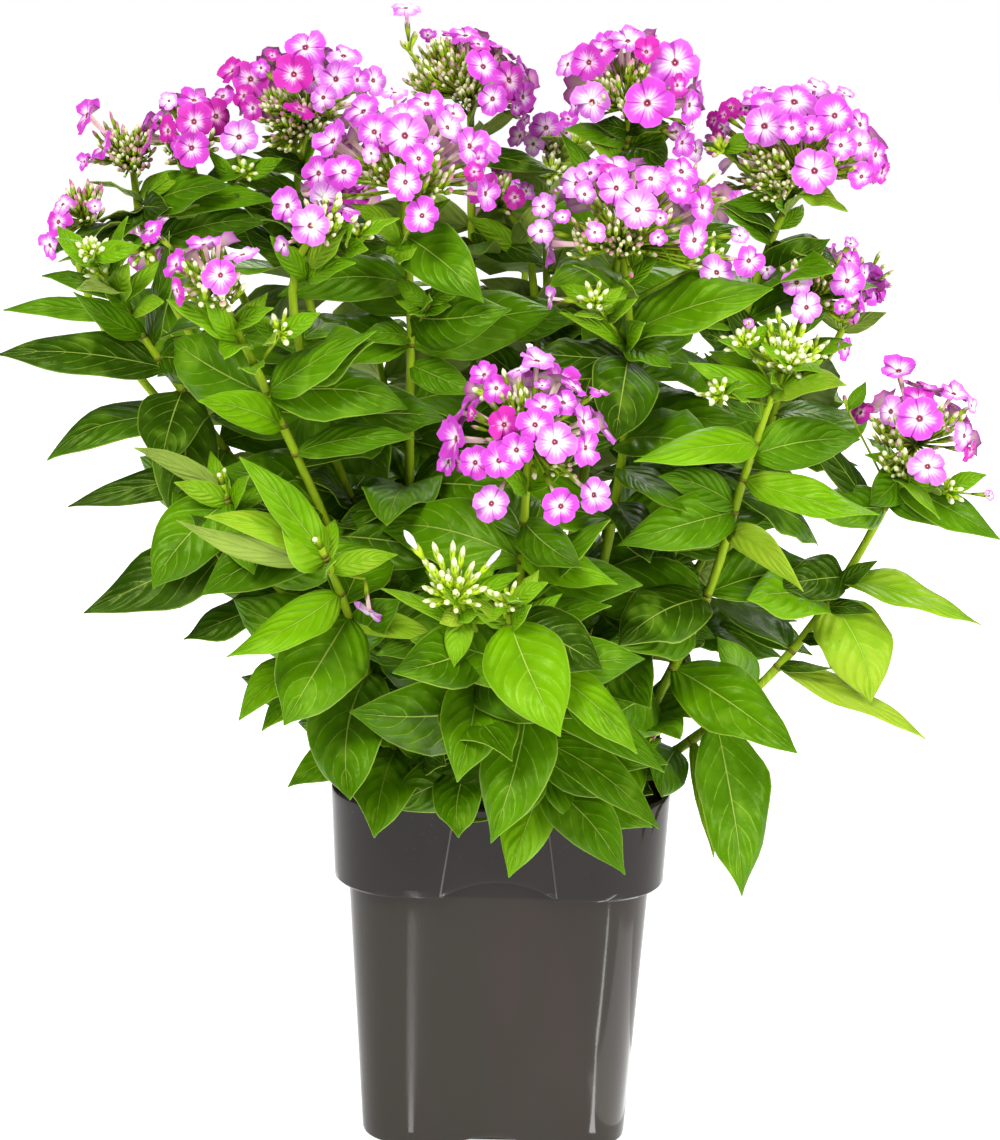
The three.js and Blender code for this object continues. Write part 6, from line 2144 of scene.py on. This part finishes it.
    def buds(self) -> int:
        """Adds the buds of the head.

        Returns:
            How many buds there are.
        """
        head = self.shoot.head
        top, middle = self.seat()
        self.twig(top, middle, self.tip_radius)
        axis = Vector(head.lean).normalized()
        if head.florets == 0:
            return self._young_head(middle, axis)
        count = 0
        for z, zone in enumerate(self.shoot.zones):
            middle_way = Vector(zone.way).normalized()
            area = math.tau * head.radius ** 2 * (1 - math.cos(math.radians(zone.angle)))
            many = max(6, round(area / self.bud_room / zone.coarse ** 2))
            for i, way in enumerate(cap_ways(many, zone.angle, middle_way)):
                draw = draws(5, self.number * 9 + z, i, 41)
                clump = chance(*(round(3 * part) for part in way + middle))
                out = head.radius * (0.5 + 0.42 * draw[1]) * (1 - 0.16 * clump)
                lean = (way + UP * (0.6 if zone.coarse == 1 else 1.1) + middle_way * 0.2
                        + Vector((draw[4] - 0.5, draw[2] - 0.5, draw[0] - 0.5)) * 0.8).normalized()
                self.bud(middle + way * out * 0.3, middle + way * out, lean,
                         (4 + 6 * draw[0]) * zone.coarse ** 0.5,
                         (0.8 + 0.55 * draw[2]) * zone.coarse,
                         zone.pink + 0.7 * draw[3], 0.12 + 0.45 * draw[4])
                count += 1
        filler = round(head.florets * self.fillers)
        for i, way in enumerate(cap_ways(filler, head.spread, axis)):
            draw = draws(4, self.number * 9 + 5, i, 51)
            out = head.radius * (0.34 + 0.2 * draw[0])
            self.bud(middle + way * out * 0.2, middle + way * out, way, 7 + 4 * draw[1],
                     1.0 + 0.4 * draw[2], 0.2 + 0.6 * draw[3], 0.3)
        return count + filler

    def _young_head(self, middle: Vector, axis: Vector) -> int:
        """Adds the buds of a head without open florets.

        Args:
            middle: The head's middle.
            axis: The way the head looks.

        Returns:
            How many there are.
        """
        head = self.shoot.head
        root = middle - axis * 9
        rows = BUD_TIPS.get(self.shoot.name, ())
        for i, (dx, dy, dz, length, width) in enumerate(rows):
            tip = middle + Vector((dx, dy, dz))
            way = (tip - root).normalized()
            tone = -1.0 if length > self.fresh_length else 0.3 * chance(self.number, i, 34)
            self.bud(root, tip - way * length, way, length, width * 0.78, tone, 0.85)
        few = head.buds < 5
        many = head.buds if few else round(head.buds * 2.4)
        for i, way in enumerate(cap_ways(many, head.spread, axis)):
            draw = draws(4, self.number, i, 31)
            length = 4 + 2 * draw[0] if few else 6 + 5 * draw[0]
            start = middle - axis * 5 + way * max(head.radius - length, 2) * (0.6 + 0.3 * draw[1])
            self.bud(root, start, (way + axis * 0.3).normalized(), length,
                     1.0 + 0.5 * draw[2], 0.25 * draw[3], 0.85)
        return many + len(rows)

    def sprigs(self) -> None:
        """Adds the side shoots, each with its small leaves, buds and florets."""
        for s, sprig in enumerate(SPRIGS.get(self.shoot.name, ())):
            root, tip = self.path.root(sprig.at), Vector(sprig.tip)
            reach = tip - root
            way = (reach.normalized() + UP * 0.4).normalized()
            self.twig(root, tip, 0.9 if reach.length < 50 else 0.6)
            for k in range(sprig.leaves):
                draw = draws(4, self.number * 9 + s, k, 71)
                base = root + reach * lerp(0.98, 0.55, k / max(sprig.leaves, 2))
                turn = s + k * GOLDEN
                out = Vector((math.cos(turn), math.sin(turn) - 0.4, 0.2 + 0.7 * draw[0]))
                length = 15 + 12 * draw[1]
                self._grow(Blade(base, base + out.normalized() * length, length * 0.44, 0.1,
                                 30 * (draw[2] - 0.5), sprig.tone + 0.24 * (draw[3] - 0.5),
                                 Blade.seeded(self.number, 3000, 20 * s + k)),
                           self.shapes.small_leaf)
            for i, out in enumerate(cap_ways(sprig.buds, 75, way)):
                draw = draws(4, self.number * 9 + s, i, 91)
                self.bud(tip - way * 2, tip + out * (1.5 + 2.5 * draw[0]), out, 5 + 5 * draw[1],
                         1.1 + 0.6 * draw[2], sprig.pink + 0.25 * draw[3], 0.8)
            for i, row in enumerate(sprig.blooms):
                self.bloom(self.cream, tip, row, 40 + 9 * s + i)

    def build(self) -> list[bpy.types.Object]:
        """Builds the stem's pieces.

        Returns:
            The green piece and the piece of its buds.
        """
        self.stalk()
        leaves, buds = self.leaves(), self.buds()
        self.sprigs()
        name = self.shoot.name
        green = self.green.piece(f"leafy_{name}", [self.dress.stalk, self.dress.blade])
        cream = self.cream.piece(f"buds_{name}", [self.dress.bud, self.dress.petal])
        LOG.info("%s: %d leaves, %d buds", name, leaves, buds)
        return [green, cream]


@dataclass
class FlowerHead:
    """A head of florets: those of its best side by table, the others by rule over its dome."""

    stem: LeafyShoot
    cover: float = 1.5
    seen_from: float = 0.3  # how squarely a place faces the front before the table rules there
    apart: float = 0.7
    apart_in_front: float = 0.95
    lowest_in_front: float = -0.12
    sunk: float = 0.82  # how far out a floret by rule lies between those of the table
    drawn_in: float = 0.3  # how far out one of a hidden head lies where the front would see it

    def build(self) -> bpy.types.Object:
        """Builds the florets, with a calyx and a stalklet for each on the stem's green piece.

        Returns:
            The piece.
        """
        shoot, number = self.stem.shoot, self.stem.number
        head, size = shoot.head, shoot.floret
        _, middle = self.stem.seat()
        heap = Heap()
        rows = BLOOMS.get(shoot.name, ())
        for i, row in enumerate(rows):
            self.stem.bloom(heap, middle, row, i)
        area = math.tau * head.radius ** 2 * (1 - math.cos(math.radians(head.spread)))
        count = max(head.florets, round(self.cover * area / (math.pi * size * size)))
        made = len(rows)
        for i, way in enumerate(cap_ways(count, head.spread, Vector(head.lean).normalized())):
            draw = draws(10, number * 7 + 3, i, 61)
            jitter = Vector((draw[0] - 0.5, draw[1] - 0.5, draw[2] - 0.5)) * 0.26
            way = (way + jitter).normalized()
            radius = size * (0.8 + 0.28 * draw[3])
            centre = middle + way * (head.radius * lerp(0.84, 0.98, draw[4]) - 0.5)
            apart = self.apart
            if rows and way.dot((FRONT - centre).normalized()) > self.seen_from:
                if way.z < self.lowest_in_front:
                    continue
                centre, apart = middle + way * head.radius * self.sunk, self.apart_in_front
            if not rows and not within_crown(centre):
                centre = middle.lerp(centre, self.drawn_in)
            if self._kept_free(centre, way, radius * apart, apart):
                continue
            sway = Vector((draw[5] - 0.5, draw[6] - 0.5, draw[7] - 0.35)) * 0.7
            tone = 0.5 + (shoot.deep - 0.5) * 0.9 + 0.55 * (draw[9] - 0.5)
            self.stem.floret(heap, middle, centre, (way + sway).normalized(), radius, draw[8],
                             draw[9] * math.tau, tone)
            made += 1
        piece = heap.piece(f"florets_{shoot.name}", [self.stem.dress.bud, self.stem.dress.petal])
        LOG.info("%s: %d florets", shoot.name, made)
        return piece

    def _kept_free(self, centre: Vector, way: Vector, room: float, apart: float) -> bool:
        """Whether a place on the dome belongs to buds or to a floret of the table.

        Args:
            centre: The place.
            way: The way to it from the middle.
            room: The floret's own room.
            apart: The share of a neighbour's radius to keep off.

        Returns:
            Whether it does.
        """
        shoot = self.stem.shoot
        if any(way.angle(Vector(zone.way)) < math.radians(zone.angle) for zone in shoot.zones):
            return True
        rows = BLOOMS.get(shoot.name, ())
        _, middle = self.stem.seat()
        return any((middle + Vector(row[:3]) - centre).length < room + apart * row[3]
                   for row in rows)


# ---------- The studio ----------


@dataclass
class Studio:
    """A plain pale floor, soft light and the camera."""

    camera_spot: Point = (-0.003, -1.3, 0.625)
    look_down: float = 14.16
    roll: float = 1.3
    lens: float = 2542 / 1140 * 36
    sky: float = 0.5
    glossy_sky: float = 0.08
    floor_glow: float = 0.6
    floor_radius: float = 9.0
    floor_colours: tuple[str, str] = ("f2f2f2", "f6f6f6")
    # Each lamp's name, place, aim, size and power, and each strip's name, ends, width and power.
    lamps: tuple[tuple, ...] = (
        ("key", (-0.9, -1.9, 2.4), (0, 0, 0.4), (1.0, 1.0), 74),
        ("fill", (1.9, -1.6, 1.3), (0, 0, 0.35), (1.0, 1.6), 50),
        ("back", (0.6, 2.0, 2.2), (0, 0, 0.45), (1.6, 1.0), 42))
    strips: tuple[tuple, ...] = (
        ("left_strip", (-0.0435, -0.075), (-0.053, -0.315), 0.0025, 0.018),
        ("right_strip", (0.056, -0.077), (0.094, -0.162), 0.006, 0.03),
        ("right_strip_beyond", (0.094, -0.162), (0.204, -0.274), 0.012, 0.1),
        ("right_card", (0.078, -0.05), (0.3, -0.1), 0.17, 0.24))
    strip_height: float = 0.004

    def floor(self) -> None:
        """Adds the floor."""
        bm = bmesh.new()
        bmesh.ops.create_circle(bm, cap_ends=True, segments=96, radius=self.floor_radius)
        mesh = bpy.data.meshes.new("floor")
        bm.to_mesh(mesh)
        bm.free()
        net = Net.material("pale_floor")
        cloud = net.noise(net.place(), 3, 2)
        mesh.materials.append(net.finish(
            Base_Color=net.mix(cloud, *self.floor_colours), Roughness=0.8,
            Emission_Color="ffffff", Emission_Strength=self.floor_glow))
        put("floor", mesh)

    def lamp(self, name: str, spot: Point, aim: Point, size: tuple[float, float],
             power: float) -> bpy.types.Object:
        """Adds a soft rectangular light.

        Args:
            name: Its name.
            spot: Its place.
            aim: The point it looks at.
            size: Its width and height.
            power: Its power in watts.

        Returns:
            The lamp.
        """
        light = bpy.data.lights.new(name, "AREA")
        light.shape = "RECTANGLE"
        light.size, light.size_y = size
        light.energy = power
        lamp = put(name, light)
        lamp.visible_camera = False
        lamp.location = spot
        lamp.rotation_euler = (Vector(aim) - Vector(spot)).to_track_quat("-Z", "Y").to_euler()
        return lamp

    def strip(self, name: str, near: tuple[float, float], far: tuple[float, float],
              width: float, power: float) -> None:
        """Lays a narrow light on the floor, facing up, for a thin streak of gloss on the pot.

        Args:
            name: Its name.
            near: The end next to the pot.
            far: The end towards the front.
            width: Its width.
            power: Its power in watts.
        """
        start, end = Vector((*near, self.strip_height)), Vector((*far, self.strip_height))
        middle = (start + end) / 2
        lamp = self.lamp(name, middle, middle + UP, (width, (end - start).length), power)
        along = (end - start).normalized()
        lamp.rotation_euler = Matrix((along.cross(-UP), along, -UP)).transposed().to_euler()
        lamp.visible_diffuse = False

    def light(self) -> None:
        """Adds the world's light and the lamps."""
        # The backdrop is plain white, and what it sheds on the plant is dimmer and softer.
        net = Net(bpy.data.worlds.new("studio"))
        seen = net.node("ShaderNodeLightPath", output="Is Camera Ray")
        mirrored = net.node("ShaderNodeLightPath", output="Is Glossy Ray")
        shed = self.sky - mirrored * (self.sky - self.glossy_sky)
        scene = bpy.context.scene
        scene.world = net.finish(Color="ffffff", Strength=seen * (1 - self.sky) + shed)
        scene.view_settings.view_transform = "Standard"
        scene.view_settings.look = "None"
        for row in self.lamps:
            self.lamp(*row)
        for row in self.strips:
            self.strip(*row)

    def camera(self) -> None:
        """Adds the camera."""
        data = bpy.data.cameras.new("camera")
        data.sensor_fit = "VERTICAL"
        data.sensor_height = 36
        data.lens = self.lens
        camera = put("camera", data)
        camera.location = self.camera_spot
        turn = (Euler((math.radians(90 - self.look_down), 0, 0)).to_matrix()
                @ Matrix.Rotation(math.radians(self.roll), 3, "Z"))
        camera.rotation_euler = turn.to_euler()
        bpy.context.scene.camera = camera


def settle(piece: bpy.types.Object, nodes: Sequence[str]) -> None:
    """Puts a piece on the body and hides the solids' nodes that it stands for.

    Args:
        piece: The piece.
        nodes: The solids' nodes that it replaces.
    """
    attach(piece, "root")
    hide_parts(*nodes)
    LOG.info("%s: %d faces", piece.name, len(piece.data.polygons))


def main() -> None:
    """Builds the studio, the container, the soil and every shoot."""
    logging.basicConfig(level=logging.INFO, format="%(message)s")
    studio = Studio()
    studio.camera()
    studio.light()
    studio.floor()
    settle(Container().build(), ["pot"])
    settle(PottingSoil().build(), ["soil"])
    shapes = Shapes()
    dress = Dress(GreenStalk().build(), LeafBlade().build(), PetalSkin().build(),
                  BudSkin().build())
    for number, shoot in enumerate(SHOOTS):
        stem = LeafyShoot(shoot, number, shapes, dress)
        if shoot.head.florets:
            settle(FlowerHead(stem).build(), [f"flowers_{shoot.name}"])
        for piece in stem.build():
            settle(piece, [f"stem_{shoot.name}"])
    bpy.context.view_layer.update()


if __name__ == "__main__":
    main()
